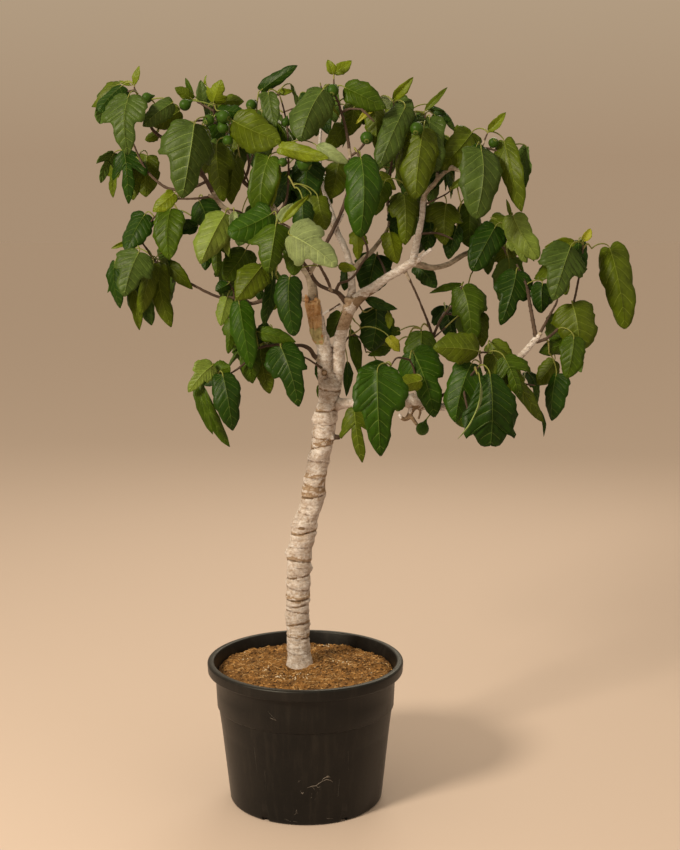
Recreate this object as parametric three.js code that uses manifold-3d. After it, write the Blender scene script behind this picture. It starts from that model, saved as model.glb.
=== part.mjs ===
// A young standard fig tree in a round nursery pot.
// Millimetres, +Z up. The origin is the centre of the pot's flat underside; X runs across the
// crown's long side and -Y is the front. Each bough is one tapering limb that starts on the limb
// it grew from, and each mass of foliage is one closed, uneven solid that its bough carries.

import * as THREE from "three";
import { mergeVertices } from "three/addons/utils/BufferGeometryUtils.js";
import Module from "manifold-3d";

const wasm = await Module();
wasm.setup();

// ---- Driving dimensions -------------------------------------------------------------------

const CLEARANCE = 0.4; // gap left between pieces that touch
const SMOOTHING = 0.06; // slivers thinner than this, left by cutting, are smoothed away
const CRUMB = 50; // a loose scrap under this volume, in cubic mm, is no piece of a limb

// The pot: a 50 litre container of thin moulded plastic.
const POT_HEIGHT = 365;
const RIM_RADIUS = 250;
const RIM_BAND = 28;
const RIM_LIP = 17;
const WALL_UNDER_RIM = 230;
const STEP_HEIGHT = 248; // small ledge moulded round the wall
const WALL_ABOVE_STEP = 226;
const WALL_BELOW_STEP = 221;
const LEDGE = 4; // height that the ledge's slope takes
const FOOT_RADIUS = 195;
const FOOT_ROUNDING = 9;
const WALL = 3.5;
const FLOOR = 5;
const POT_SIDES = 32;
const NOTCHES = 6;
const NOTCH_WIDTH = 16;
const NOTCH_HEIGHT = 8;

// The potting mix: a low mound that ends under the rim.
const SOIL_EDGE = 343;
const SOIL_TOP = 349.7;
const MOUND_RADIUS = 78; // level part round the trunk

// The trunk: upright at the foot, then leaning over to the right to its fork.
const TRUNK_FOOT = new THREE.Vector3(-16, 20, SOIL_TOP + CLEARANCE);
const TRUNK_HEIGHT = 812;
const TRUNK_LEAN = 83;
const LEAN_START = 0.26; // share of the height below which the stem is upright
const LEAN_END = 0.92;
const TRUNK_FOOT_RADIUS = 31;
const TRUNK_TOP_RADIUS = 27;
const ROOT_FLARE = 5;
const FLARE_HEIGHT = 45;
const CROTCH_SPREAD = 10; // extra half width where the two leaders part
const CROTCH_START = 0.88; // share of the height where it begins to widen
const RING_SPACING = 118; // old leaf and growth rings swell the stem
const RING_SWELL = 1.6;
const TRUNK_SIDES = 12;
const TRUNK_STEPS = 16;

const LIMB_SIDES = 6;
const LIMB_STEP = 80; // length of bough between two rings of its mesh

const BARK = { color: 0xb8a68f, roughness: 0.85 };
const TWIG_BARK = { color: 0x6b5546, roughness: 0.8 };
const LEAF = { color: 0x3f6a24, roughness: 0.5 };

// ---- Boughs -------------------------------------------------------------------------------
// on and at: the limb that it grows from, and how far along it. to: its far end. bow: how far
// its middle stands off the straight line. r: radius at each end. into: the foliage that it
// carries, where the solid bough ends. A limb with no foliage of its own carries other limbs.

const LIMBS = [
  { name: "leader_left", on: "trunk", at: 0.972, offset: -16, to: [24, -5, 1285], r: [21, 17] },
  { name: "leader_right", on: "trunk", at: 0.965, offset: 14, to: [110, -10, 1298], r: [18, 14] },
  { name: "bough_top_left_stem", on: "leader_left", at: 0.97, to: [-73, 60, 1485], r: [12, 8] },
  { name: "bough_top_left", on: "bough_top_left_stem", at: 0.98, to: [-231, 70, 1723], bow: [0, 0, -32],
    r: [7, 5], into: "leaves_top_left" },
  { name: "bough_front_left_stem", on: "leader_right", at: 0.82, to: [-23, -60, 1390], bow: [-4, 0, -8],
    r: [7, 6.5] },
  { name: "bough_upper_left", on: "bough_front_left_stem", at: 0.97, to: [-191, -100, 1507],
    bow: [0, 0, -10], r: [6.5, 6] },
  { name: "bough_far_left", on: "bough_upper_left", at: 0.97, to: [-400, -120, 1770], bow: [22, 0, 5],
    r: [6, 4], into: "leaves_far_left_top" },
  { name: "bough_left_middle", on: "leader_left", at: 0.93, to: [-360, 60, 1365], bow: [0, 0, -40],
    r: [6.5, 4], into: "leaves_left_middle" },
  { name: "bough_left_low_stem", on: "trunk", at: 0.965, to: [-100, -60, 1177], bow: [0, 0, 10],
    r: [7.5, 6] },
  { name: "bough_left_low", on: "bough_left_low_stem", at: 0.96, to: [-205, -120, 1090], r: [5.5, 4],
    into: "leaves_left_low" },
  { name: "bough_back_left", on: "bough_top_left_stem", at: 0.55, to: [-150, 330, 1640], bow: [0, 0, -25],
    r: [7, 5], into: "leaves_back_left" },
  { name: "bough_crossing", on: "bough_front_left_stem", at: 0.72, to: [109, -50, 1622], bow: [20, 0, 0],
    r: [5.5, 5] },
  { name: "bough_top_centre", on: "bough_crossing", at: 0.97, to: [95, -60, 1720], bow: [4, 0, 0],
    r: [4.5, 3.5], into: "leaves_top_centre_right" },
  { name: "bough_centre", on: "leader_right", at: 0.96, to: [35, 130, 1720], bow: [12, -12, 0], r: [11, 5],
    into: "leaves_top_centre" },
  { name: "bough_centre_right", on: "bough_centre", at: 0.2, to: [215, 110, 1512], bow: [6, 0, -26],
    r: [6, 4.5], into: "leaves_centre_right" },
  { name: "bough_back", on: "bough_centre", at: 0.45, to: [0, 290, 1580], bow: [0, 0, -14], r: [6.5, 5],
    into: "leaves_centre_left" },
  { name: "bough_front", on: "bough_front_left_stem", at: 0.35, to: [20, -290, 1430], bow: [0, 0, -12],
    r: [5, 4], into: "leaves_front" },
  { name: "bough_right", on: "leader_right", at: 0.9, to: [265, -30, 1374], bow: [6, 0, -12], r: [14, 10.5] },
  { name: "bough_right_upper", on: "bough_right", at: 0.97, to: [285, 10, 1515], bow: [-8, 0, 0],
    r: [9.5, 7.5] },
  { name: "bough_right_top", on: "bough_right_upper", at: 0.96, to: [437, -10, 1650], bow: [10, 0, 0],
    r: [6.5, 4], into: "leaves_top_right" },
  { name: "bough_back_right", on: "bough_right_upper", at: 0.55, to: [310, 370, 1600], bow: [20, 0, -20],
    r: [7, 5], into: "leaves_back_right" },
  { name: "bough_right_outer", on: "bough_right", at: 0.96, to: [470, 70, 1440], bow: [0, 0, -22],
    r: [8, 5.5], into: "leaves_right" },
  { name: "bough_right_drop", on: "bough_right", at: 0.88, to: [322, 50, 1165], bow: [0, 0, 10], r: [5, 4],
    into: "leaves_low_centre_right" },
  { name: "bough_low_right_stem", on: "trunk", at: 0.83, to: [262, -90, 1045], bow: [0, 0, -12],
    r: [13, 11] },
  { name: "bough_low_right", on: "bough_low_right_stem", at: 0.97, to: [554, -110, 1180],
    bow: [0, -20, -22], r: [9.5, 8] },
  { name: "bough_far_right", on: "bough_low_right", at: 0.97, to: [612, -60, 1335], bow: [10, 0, 0],
    r: [7, 4], into: "leaves_far_right" },
];

// ---- Masses of foliage ----------------------------------------------------------------------
// centre: the middle of the mass. half: its half width, half depth and half height.

const MASSES = [
  { name: "leaves_far_left_top", centre: [-428, -120, 1733], half: [78, 75, 98] },
  { name: "leaves_left_hanging", centre: [-387, -60, 1566], half: [88, 80, 98] },
  { name: "leaves_upper_left_front", centre: [-268, -170, 1630], half: [72, 80, 108] },
  { name: "leaves_top_left", centre: [-235, 60, 1722], half: [84, 95, 106] },
  { name: "leaves_top_centre_left", centre: [-97, -40, 1730], half: [94, 105, 112] },
  { name: "leaves_top_centre", centre: [35, 130, 1756], half: [72, 110, 104] },
  { name: "leaves_top_centre_right", centre: [149, -90, 1712], half: [68, 105, 102] },
  { name: "leaves_top_right_inner", centre: [268, 150, 1683], half: [98, 125, 148] },
  { name: "leaves_top_right", centre: [450, -10, 1618], half: [104, 95, 122] },
  { name: "leaves_right_upper", centre: [357, -20, 1458], half: [63, 94, 88] },
  { name: "leaves_right", centre: [508, 100, 1390], half: [84, 105, 134] },
  { name: "leaves_far_right", centre: [618, -45, 1377], half: [94, 85, 88] },
  { name: "leaves_far_right_tip", centre: [748, 5, 1302], half: [68, 62, 112] },
  { name: "leaves_far_right_low", centre: [636, -70, 1192], half: [68, 75, 102] },
  { name: "leaves_right_centre", centre: [394, 105, 1236], half: [95, 110, 96] },
  { name: "leaves_low_right_front", centre: [412, -205, 1066], half: [90, 105, 110] },
  { name: "leaves_low_right", centre: [542, -100, 1092], half: [82, 85, 100] },
  { name: "leaves_low_centre_right", centre: [276, 40, 1115], half: [70, 95, 110] },
  { name: "leaves_low_centre", centre: [160, -165, 1040], half: [72, 130, 120] },
  { name: "leaves_by_fork", centre: [178, 120, 1195], half: [60, 95, 68] },
  { name: "leaves_centre_front", centre: [124, -165, 1550], half: [52, 105, 96] },
  { name: "leaves_centre_right", centre: [240, 130, 1480], half: [70, 100, 98] },
  { name: "leaves_centre_left", centre: [-4, 270, 1546], half: [80, 120, 120] },
  { name: "leaves_front", centre: [-35, -280, 1419], half: [114, 85, 92] },
  { name: "leaves_left_inner", centre: [-207, -110, 1415], half: [58, 85, 96] },
  { name: "leaves_back_left_low", centre: [-165, 130, 1315], half: [80, 115, 76] },
  { name: "leaves_left_low_inner", centre: [-108, 20, 1127], half: [88, 115, 106] },
  { name: "leaves_left_middle", centre: [-385, 60, 1355], half: [102, 100, 152] },
  { name: "leaves_left_low", centre: [-217, -130, 1046], half: [66, 75, 110] },
  { name: "leaves_back_left", centre: [-150, 330, 1690], half: [115, 115, 115] },
  { name: "leaves_back_right", centre: [315, 360, 1615], half: [110, 120, 120] },
];
const LUMP = 0.14; // how far the surface of a mass swells and sinks, as a share of its size
const LUMP_WAVES = { x: 2.6, y: 2.2, z: 3.9 }; // how quickly the swelling changes each way
const LUMP_SEED = 1.9; // step from one mass to the next, so that no two are alike
const MASS_SIDES = 11;
const MASS_RINGS = 8;

// ---- From three.js geometry to closed solids, and back ------------------------------------

function solidFrom(geometry) {
  geometry.deleteAttribute("normal");
  geometry.deleteAttribute("uv");
  const merged = mergeVertices(geometry, 1e-4);
  return new wasm.Manifold(new wasm.Mesh({
    numProp: 3,
    vertProperties: new Float32Array(merged.attributes.position.array),
    triVerts: new Uint32Array(merged.index.array),
  }));
}

function geometryFrom(solid) {
  const mesh = solid.simplify(SMOOTHING).getMesh();
  const geometry = new THREE.BufferGeometry();
  geometry.setAttribute("position", new THREE.BufferAttribute(new Float32Array(mesh.vertProperties), 3));
  geometry.setIndex(new THREE.BufferAttribute(new Uint32Array(mesh.triVerts), 1));
  geometry.computeVertexNormals();
  return geometry;
}

function largestPiece(solid) {
  return solid.decompose().reduce((best, piece) => (piece.volume() > best.volume() ? piece : best));
}

// What is left at the start of a limb once foliage is taken away from it.
function pieceNearest(solid, point) {
  const gap = (piece) => {
    const box = piece.boundingBox();
    const nearest = point.clone().clamp(new THREE.Vector3(...box.min), new THREE.Vector3(...box.max));
    return nearest.distanceTo(point);
  };
  const pieces = solid.decompose().filter((piece) => piece.volume() > CRUMB);
  return pieces.reduce((best, piece) => (gap(piece) < gap(best) ? piece : best));
}

// ---- Pot and potting mix --------------------------------------------------------------------

function wallRadius(height) {
  if (height > STEP_HEIGHT) {
    const share = (height - STEP_HEIGHT) / (POT_HEIGHT - RIM_BAND - STEP_HEIGHT);
    return THREE.MathUtils.lerp(WALL_ABOVE_STEP, WALL_UNDER_RIM, Math.min(share, 1));
  }
  return THREE.MathUtils.lerp(FOOT_RADIUS, WALL_BELOW_STEP, height / STEP_HEIGHT);
}

function makePot() {
  const bandBottom = POT_HEIGHT - RIM_BAND;
  const rounding = RIM_LIP / 4;
  const innerTop = RIM_RADIUS - RIM_LIP;
  const floorEdge = wallRadius(FLOOR) - WALL - FOOT_ROUNDING / 2;
  const outline = [
    [0, 0],
    [FOOT_RADIUS - FOOT_ROUNDING, 0],
    [FOOT_RADIUS - FOOT_ROUNDING / 3, FOOT_ROUNDING / 3],
    [wallRadius(FOOT_ROUNDING), FOOT_ROUNDING],
    [WALL_BELOW_STEP, STEP_HEIGHT - LEDGE / 2],
    [WALL_ABOVE_STEP, STEP_HEIGHT + LEDGE / 2],
    [WALL_UNDER_RIM, bandBottom],
    [RIM_RADIUS - rounding, bandBottom],
    [RIM_RADIUS, bandBottom + rounding],
    [RIM_RADIUS, POT_HEIGHT - rounding],
    [RIM_RADIUS - rounding, POT_HEIGHT],
    [innerTop + rounding, POT_HEIGHT],
    [innerTop, POT_HEIGHT - rounding],
    [WALL_UNDER_RIM - WALL, SOIL_EDGE + WALL],
    [WALL_BELOW_STEP - WALL, STEP_HEIGHT - LEDGE],
    [floorEdge, FLOOR],
    [0, FLOOR],
  ].map(([r, z]) => new THREE.Vector2(r, z));
  const shell = new THREE.LatheGeometry(outline, POT_SIDES);
  shell.rotateX(Math.PI / 2);
  let pot = solidFrom(shell);
  for (let i = 0; i < NOTCHES; i += 1) {
    const notch = new THREE.BoxGeometry(NOTCH_WIDTH, 4 * FOOT_ROUNDING, 2 * NOTCH_HEIGHT);
    notch.translate(0, -FOOT_RADIUS, 0);
    notch.rotateZ(((i + 0.5) * 2 * Math.PI) / NOTCHES);
    pot = pot.subtract(solidFrom(notch));
  }
  return pot;
}

function makeSoil() {
  const floorEdge = wallRadius(FLOOR) - WALL - FOOT_ROUNDING / 2;
  const outline = [
    [0, FLOOR + CLEARANCE],
    [floorEdge - 2 * CLEARANCE, FLOOR + CLEARANCE],
    [WALL_BELOW_STEP - WALL - 2 * CLEARANCE, STEP_HEIGHT - LEDGE],
    [WALL_UNDER_RIM - WALL - 2 * CLEARANCE, SOIL_EDGE],
    [MOUND_RADIUS, SOIL_TOP],
    [0, SOIL_TOP],
  ].map(([r, z]) => new THREE.Vector2(r, z));
  const mound = new THREE.LatheGeometry(outline, POT_SIDES);
  mound.rotateX(Math.PI / 2);
  return solidFrom(mound);
}

// ---- Limbs ------------------------------------------------------------------------------------

// The trunk's centre line: upright, then an easy S over to the fork.
class TrunkLine extends THREE.Curve {
  getPoint(t, target = new THREE.Vector3()) {
    const lean = THREE.MathUtils.smoothstep(t, LEAN_START, LEAN_END);
    return target.set(
      TRUNK_FOOT.x + TRUNK_LEAN * lean,
      TRUNK_FOOT.y * (1 - t),
      TRUNK_FOOT.z + TRUNK_HEIGHT * t,
    );
  }
}

// A curve whose middle stands off the straight line between its ends by the bow.
function bowedLine(start, end, bow) {
  const control = start.clone().lerp(end, 0.5).addScaledVector(bow, 2);
  return new THREE.QuadraticBezierCurve3(start, control, end);
}

// A closed, tapering cylinder bent along a curve, grown all round and past both ends.
function limbSolid(curve, [baseRadius, tipRadius], steps, grow) {
  const tube = new THREE.CylinderGeometry(tipRadius + grow, baseRadius + grow, 1, LIMB_SIDES, steps);
  const frames = curve.computeFrenetFrames(steps, false);
  const position = tube.attributes.position;
  const point = new THREE.Vector3();
  for (let i = 0; i < position.count; i += 1) {
    const step = Math.round((position.getY(i) + 0.5) * steps);
    point.copy(curve.getPointAt(step / steps));
    point.addScaledVector(frames.normals[step], position.getX(i));
    point.addScaledVector(frames.binormals[step], -position.getZ(i));
    if (step === 0 || step === steps) {
      point.addScaledVector(frames.tangents[step], step === 0 ? -grow : grow);
    }
    position.setXYZ(i, point.x, point.y, point.z);
  }
  return solidFrom(tube);
}

const trunkLine = new TrunkLine();

// The trunk is meshed ring by ring on level sections, so that its foot is cut flat.
function trunkSolid(grow) {
  const tube = new THREE.CylinderGeometry(1, 1, 1, TRUNK_SIDES, TRUNK_STEPS);
  tube.rotateX(Math.PI / 2);
  const position = tube.attributes.position;
  const point = new THREE.Vector3();
  for (let i = 0; i < position.count; i += 1) {
    const t = position.getZ(i) + 0.5;
    const height = t * TRUNK_HEIGHT;
    const ring = RING_SWELL * Math.sin((2 * Math.PI * height) / RING_SPACING);
    const flare = ROOT_FLARE * Math.exp(-height / FLARE_HEIGHT);
    const radius = THREE.MathUtils.lerp(TRUNK_FOOT_RADIUS, TRUNK_TOP_RADIUS, t) + ring + flare + grow;
    const crotch = CROTCH_SPREAD * THREE.MathUtils.smoothstep(t, CROTCH_START, 1);
    trunkLine.getPoint(t, point);
    point.x += position.getX(i) * (radius + crotch);
    point.y += position.getY(i) * radius;
    point.z += (t - 0.5) * 2 * grow;
    position.setXYZ(i, point.x, point.y, point.z);
  }
  return solidFrom(tube);
}

// ---- Foliage ----------------------------------------------------------------------------------

function massSolid({ centre, half }, seed, grow) {
  const ball = new THREE.SphereGeometry(1, MASS_SIDES, MASS_RINGS);
  const position = ball.attributes.position;
  const direction = new THREE.Vector3();
  for (let i = 0; i < position.count; i += 1) {
    direction.fromBufferAttribute(position, i);
    const across = Math.sin(LUMP_WAVES.x * direction.x + seed);
    const deep = Math.sin(LUMP_WAVES.y * direction.y + 2 * seed);
    const upward = Math.sin(LUMP_WAVES.z * direction.z + 3 * seed);
    direction.multiplyScalar(1 + LUMP * (across * deep + 0.6 * upward));
    position.setXYZ(i, direction.x, direction.y, direction.z);
  }
  // Bring the lumpy ball to its exact size and place.
  ball.center();
  ball.computeBoundingBox();
  const reach = ball.boundingBox.max;
  const size = new THREE.Vector3(...half);
  const outward = new THREE.Vector3();
  for (let i = 0; i < position.count; i += 1) {
    direction.fromBufferAttribute(position, i).divide(reach);
    outward.copy(direction).divide(size).normalize();
    direction.multiply(size).addScaledVector(outward, grow);
    position.setXYZ(i, direction.x, direction.y, direction.z);
  }
  ball.translate(...centre);
  return solidFrom(ball);
}

// ---- The tree, from the foot up ---------------------------------------------------------------

const limbs = { trunk: { line: trunkLine, solid: trunkSolid(0), grown: trunkSolid(CLEARANCE) } };

for (const { name, on, at, offset = 0, to, bow = [0, 0, 0], r, into } of LIMBS) {
  const start = limbs[on].line.getPointAt(at);
  start.x += offset;
  const line = bowedLine(start, new THREE.Vector3(...to), new THREE.Vector3(...bow));
  const steps = Math.max(2, Math.round(line.getLength() / LIMB_STEP));
  let solid = limbSolid(line, r, steps, 0);
  for (const other of Object.values(limbs)) {
    solid = solid.subtract(other.grown);
  }
  const grown = limbSolid(line, r, steps, CLEARANCE);
  limbs[name] = { line, start, solid: largestPiece(solid), grown, into };
}

const masses = {};
MASSES.forEach((mass, index) => {
  const seed = index * LUMP_SEED;
  let solid = massSolid(mass, seed, 0);
  for (const other of Object.values(masses)) {
    solid = solid.subtract(other.grown);
  }
  for (const limb of Object.values(limbs)) {
    if (limb.into !== mass.name) {
      solid = solid.subtract(limb.grown);
    }
  }
  masses[mass.name] = { solid: largestPiece(solid), grown: massSolid(mass, seed, CLEARANCE) };
});

for (const limb of Object.values(limbs)) {
  if (limb.into) {
    limb.solid = pieceNearest(limb.solid.subtract(masses[limb.into].grown), limb.start);
  }
}

// ---- Scene graph ------------------------------------------------------------------------------

const figTree = new THREE.Group();

function addNode(name, solid, look) {
  const material = new THREE.MeshStandardMaterial({ ...look, metalness: 0 });
  const mesh = new THREE.Mesh(geometryFrom(solid), material);
  mesh.name = name;
  figTree.add(mesh);
}

addNode("pot", makePot(), { color: 0x1d1c1b, roughness: 0.55 });
addNode("soil", makeSoil(), { color: 0x7a5636, roughness: 0.95 });
for (const [name, limb] of Object.entries(limbs)) {
  addNode(name, limb.solid, limb.into ? TWIG_BARK : BARK);
}
for (const [name, mass] of Object.entries(masses)) {
  addNode(name, mass.solid, LEAF);
}

export default figTree;
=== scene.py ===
# A young standard fig tree in a round nursery pot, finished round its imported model.
# Metres, +Z up. The origin is the middle of the pot's flat underside, X runs along the wide
# side of the head and -Y is the front. The sections follow the tree from the pot upwards.

import math
import random

import bpy
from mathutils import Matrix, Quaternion, Vector, kdtree, noise


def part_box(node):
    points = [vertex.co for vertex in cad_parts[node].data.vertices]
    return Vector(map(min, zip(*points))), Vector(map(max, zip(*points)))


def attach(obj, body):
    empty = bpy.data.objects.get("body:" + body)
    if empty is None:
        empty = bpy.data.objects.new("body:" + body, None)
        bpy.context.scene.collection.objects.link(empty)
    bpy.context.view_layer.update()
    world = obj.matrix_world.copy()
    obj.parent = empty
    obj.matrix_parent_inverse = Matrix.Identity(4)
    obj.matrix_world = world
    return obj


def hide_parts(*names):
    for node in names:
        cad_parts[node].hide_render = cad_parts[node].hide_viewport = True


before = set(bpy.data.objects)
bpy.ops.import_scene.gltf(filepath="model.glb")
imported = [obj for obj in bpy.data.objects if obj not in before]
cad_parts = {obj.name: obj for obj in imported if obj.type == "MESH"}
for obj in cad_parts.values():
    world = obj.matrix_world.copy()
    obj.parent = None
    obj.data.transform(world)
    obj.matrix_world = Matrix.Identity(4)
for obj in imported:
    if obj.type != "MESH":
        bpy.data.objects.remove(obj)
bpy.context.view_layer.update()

# ---- The camera --------------------------------------------------------------------------------
# It stands in front of the pot at eye height and looks slightly down at the whole tree.

EYE = Vector((0.0878, -3.6, 1.553))
LOOK_DOWN = math.radians(9.216)
LENS = 62.08

camera = bpy.data.objects.new("camera", bpy.data.cameras.new("camera"))
camera.data.lens = LENS
camera.data.sensor_width = 36
camera.location = EYE
camera.rotation_euler = (math.radians(90) - LOOK_DOWN, 0, 0)
bpy.context.scene.collection.objects.link(camera)
bpy.context.scene.camera = camera
bpy.context.scene.view_settings.view_transform = "Standard"

# ---- The pot -----------------------------------------------------------------------------------
# A 50 litre nursery pot, injection moulded in black recycled plastic about 3.5 mm thick. Its
# rolled rim band stiffens the mouth, a small ledge runs round the wall, and six notches in the
# foot let water out.

POT_HEIGHT = 0.365
RIM_RADIUS = 0.250
RIM_BAND = 0.028
RIM_LIP = 0.017
WALL_UNDER_RIM = 0.230
LEDGE_HEIGHT = 0.248
WALL_ABOVE_LEDGE = 0.226
WALL_BELOW_LEDGE = 0.221
FOOT_RADIUS = 0.195
WALL = 0.0035
POT_SIDES = 180
NOTCHES = 6
NOTCH = (0.022, 0.036, 0.020)


class Bundle:
    """Vertices, faces and finishes of one piece, gathered before its mesh is made."""

    def __init__(self):
        self.points = []
        self.faces = []
        self.finishes = []

    def add(self, points, faces, finish):
        first = len(self.points)
        self.points.extend(points)
        self.faces.extend([tuple(first + i for i in face) for face in faces])
        if isinstance(finish, int):
            finish = [finish] * len(faces)
        self.finishes.extend(finish)

    def make(self, name, materials, slot, nodes=(), smooth=True):
        mesh = bpy.data.meshes.new(name)
        mesh.from_pydata(self.points, [], self.faces)
        for material in materials:
            mesh.materials.append(material)
        mesh.polygons.foreach_set("material_index", self.finishes)
        mesh.polygons.foreach_set("use_smooth", [smooth] * len(self.faces))
        mesh.update()
        piece = bpy.data.objects.new(name, mesh)
        bpy.context.scene.collection.objects.link(piece)
        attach(piece, "root")
        if nodes:
            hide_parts(*nodes)
        return piece


def bend(centre, radius, start, end, steps):
    """Points on a round corner of an outline, from one angle in degrees to another."""
    corner = []
    for i in range(steps + 1):
        angle = math.radians(start + (end - start) * i / steps)
        corner.append((centre[0] + radius * math.cos(angle), centre[1] + radius * math.sin(angle)))
    return corner


def band_faces(first, bands, sides):
    """Four-sided faces between rings of points, from the ring that starts at point first."""
    faces = []
    for start in range(first, first + bands * sides, sides):
        for i in range(sides):
            a = start + i
            b = start + (i + 1) % sides
            faces.append((a, b, b + sides, a + sides))
    return faces


def round_faces(first, rings, sides, low, high):
    """Faces of a closed round piece: the bands between its rings and a fan to each end point."""
    faces = band_faces(first, rings - 1, sides)
    last = first + (rings - 1) * sides
    for i in range(sides):
        after = (i + 1) % sides
        faces.append((low, first + after, first + i))
        faces.append((high, last + i, last + after))
    return faces


def turn_outline(outline, sides):
    """A closed solid turned from an outline that starts and ends on the upright axis."""
    points = [(0, 0, outline[0][1]), (0, 0, outline[-1][1])]
    for radius, height in outline[1:-1]:
        for i in range(sides):
            angle = 2 * math.pi * i / sides
            r = radius + pot_wobble(angle, height)
            points.append((r * math.sin(angle), -r * math.cos(angle), height))
    return points, round_faces(2, len(outline) - 2, sides, 0, 1)


def wall_radius(height):
    if height > LEDGE_HEIGHT:
        share = (height - LEDGE_HEIGHT) / (POT_HEIGHT - RIM_BAND - LEDGE_HEIGHT)
        return WALL_ABOVE_LEDGE + (WALL_UNDER_RIM - WALL_ABOVE_LEDGE) * min(share, 1)
    return FOOT_RADIUS + (WALL_BELOW_LEDGE - FOOT_RADIUS) * height / LEDGE_HEIGHT


def pot_outline():
    band = POT_HEIGHT - RIM_BAND
    edge = 0.004
    outline = [(0, 0), (FOOT_RADIUS - 0.009, 0)]
    outline += bend((wall_radius(0.009) - 0.009, 0.009), 0.009, -80, 0, 5)
    outline += [(wall_radius(0.06), 0.06), (wall_radius(0.12), 0.12), (wall_radius(0.18), 0.18)]
    outline += [(WALL_BELOW_LEDGE, LEDGE_HEIGHT - 0.003), (WALL_BELOW_LEDGE + 0.0012, LEDGE_HEIGHT - 0.002)]
    outline += [(WALL_ABOVE_LEDGE - 0.0008, LEDGE_HEIGHT + 0.001), (WALL_ABOVE_LEDGE, LEDGE_HEIGHT + 0.002)]
    outline += [(wall_radius(0.29), 0.29), (WALL_UNDER_RIM, band - 0.002), (WALL_UNDER_RIM + 0.002, band)]
    outline += bend((RIM_RADIUS - edge - 0.001, band + edge), edge, -90, 0, 4)
    outline += bend((RIM_RADIUS - 0.006, POT_HEIGHT - 0.006), 0.006, 0, 90, 6)
    outline += bend((RIM_RADIUS - RIM_LIP + edge, POT_HEIGHT - edge), edge, 90, 180, 4)
    outline += [(WALL_UNDER_RIM - WALL, 0.343), (WALL_ABOVE_LEDGE - WALL, LEDGE_HEIGHT)]
    outline += [(FOOT_RADIUS - WALL, 0.012), (FOOT_RADIUS - 0.012, 0.005), (0, 0.005)]
    return outline


def group_of(name, numbers, colours):
    """An empty shader node group with its named inputs and its three outputs."""
    group = bpy.data.node_groups.new(name, "ShaderNodeTree")
    for label, value in numbers.items():
        group.interface.new_socket(label, in_out="INPUT", socket_type="NodeSocketFloat").default_value = value
    for label in colours:
        group.interface.new_socket(label, in_out="INPUT", socket_type="NodeSocketColor")
    for label in ("Colour", "Roughness", "Height"):
        kind = "NodeSocketColor" if label == "Colour" else "NodeSocketFloat"
        group.interface.new_socket(label, in_out="OUTPUT", socket_type=kind)
    group.nodes.new("NodeGroupInput").name = "in"
    group.nodes.new("NodeGroupOutput").name = "out"
    return group


def give_out(group, colour, roughness, height):
    """Joins a group's results to its outputs."""
    for value, socket in zip((colour, roughness, height), group.nodes["out"].inputs):
        group.links.new(value, socket)
    return group


def grain(tree, scale, stretch, detail, roughness, distortion=0.0):
    """Noise fixed to the piece, stretched along its axes, as a number from 0 to 1."""
    place = tree.nodes.new("ShaderNodeTexCoord")
    stretched = tree.nodes.new("ShaderNodeMapping")
    stretched.inputs["Scale"].default_value = stretch
    tree.links.new(place.outputs["Object"], stretched.inputs["Vector"])
    node = tree.nodes.new("ShaderNodeTexNoise")
    node.inputs["Scale"].default_value = scale
    node.inputs["Detail"].default_value = detail
    node.inputs["Roughness"].default_value = roughness
    node.inputs["Distortion"].default_value = distortion
    tree.links.new(stretched.outputs["Vector"], node.inputs["Vector"])
    return node.outputs["Fac"]


def between(tree, value, low, high, out_low=0.0, out_high=1.0):
    """A value taken from one range to another, and held inside it."""
    node = tree.nodes.new("ShaderNodeMapRange")
    for label, number in (("From Min", low), ("From Max", high), ("To Min", out_low), ("To Max", out_high)):
        node.inputs[label].default_value = number
    tree.links.new(value, node.inputs["Value"])
    return node.outputs["Result"]


def blend_colours(tree, share, first, second):
    node = tree.nodes.new("ShaderNodeMix")
    node.data_type = "RGBA"
    tree.links.new(share, node.inputs["Factor"])
    tree.links.new(first, node.inputs[6])
    tree.links.new(second, node.inputs[7])
    return node.outputs[2]


def combine(tree, operation, first, second):
    node = tree.nodes.new("ShaderNodeMath")
    node.operation = operation
    for socket, value in zip(node.inputs, (first, second)):
        if isinstance(value, (int, float)):
            socket.default_value = value
        else:
            tree.links.new(value, socket)
    return node.outputs[0]


def sum_of(tree, *parts):
    """The sum of values, each taken at its own strength."""
    total = None
    for value, strength in parts:
        part = combine(tree, "MULTIPLY", value, strength)
        total = part if total is None else combine(tree, "ADD", total, part)
    return total


def surface(name, group, numbers, colours, bump, depth=0.001, specular=0.5):
    """A material whose colour, roughness and relief come from one of the node groups."""
    material = bpy.data.materials.new(name)
    material.use_nodes = True
    tree = material.node_tree
    shader = tree.nodes["Principled BSDF"]
    shader.inputs["Specular IOR Level"].default_value = specular
    node = tree.nodes.new("ShaderNodeGroup")
    node.node_tree = group
    for label, value in numbers.items():
        node.inputs[label].default_value = value
    for label, value in colours.items():
        node.inputs[label].default_value = (*value, 1)
    tree.links.new(node.outputs["Colour"], shader.inputs["Base Color"])
    tree.links.new(node.outputs["Roughness"], shader.inputs["Roughness"])
    relief = tree.nodes.new("ShaderNodeBump")
    relief.inputs["Strength"].default_value = bump
    relief.inputs["Distance"].default_value = depth
    tree.links.new(node.outputs["Height"], relief.inputs["Height"])
    tree.links.new(relief.outputs["Normal"], shader.inputs["Normal"])
    return material


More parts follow.
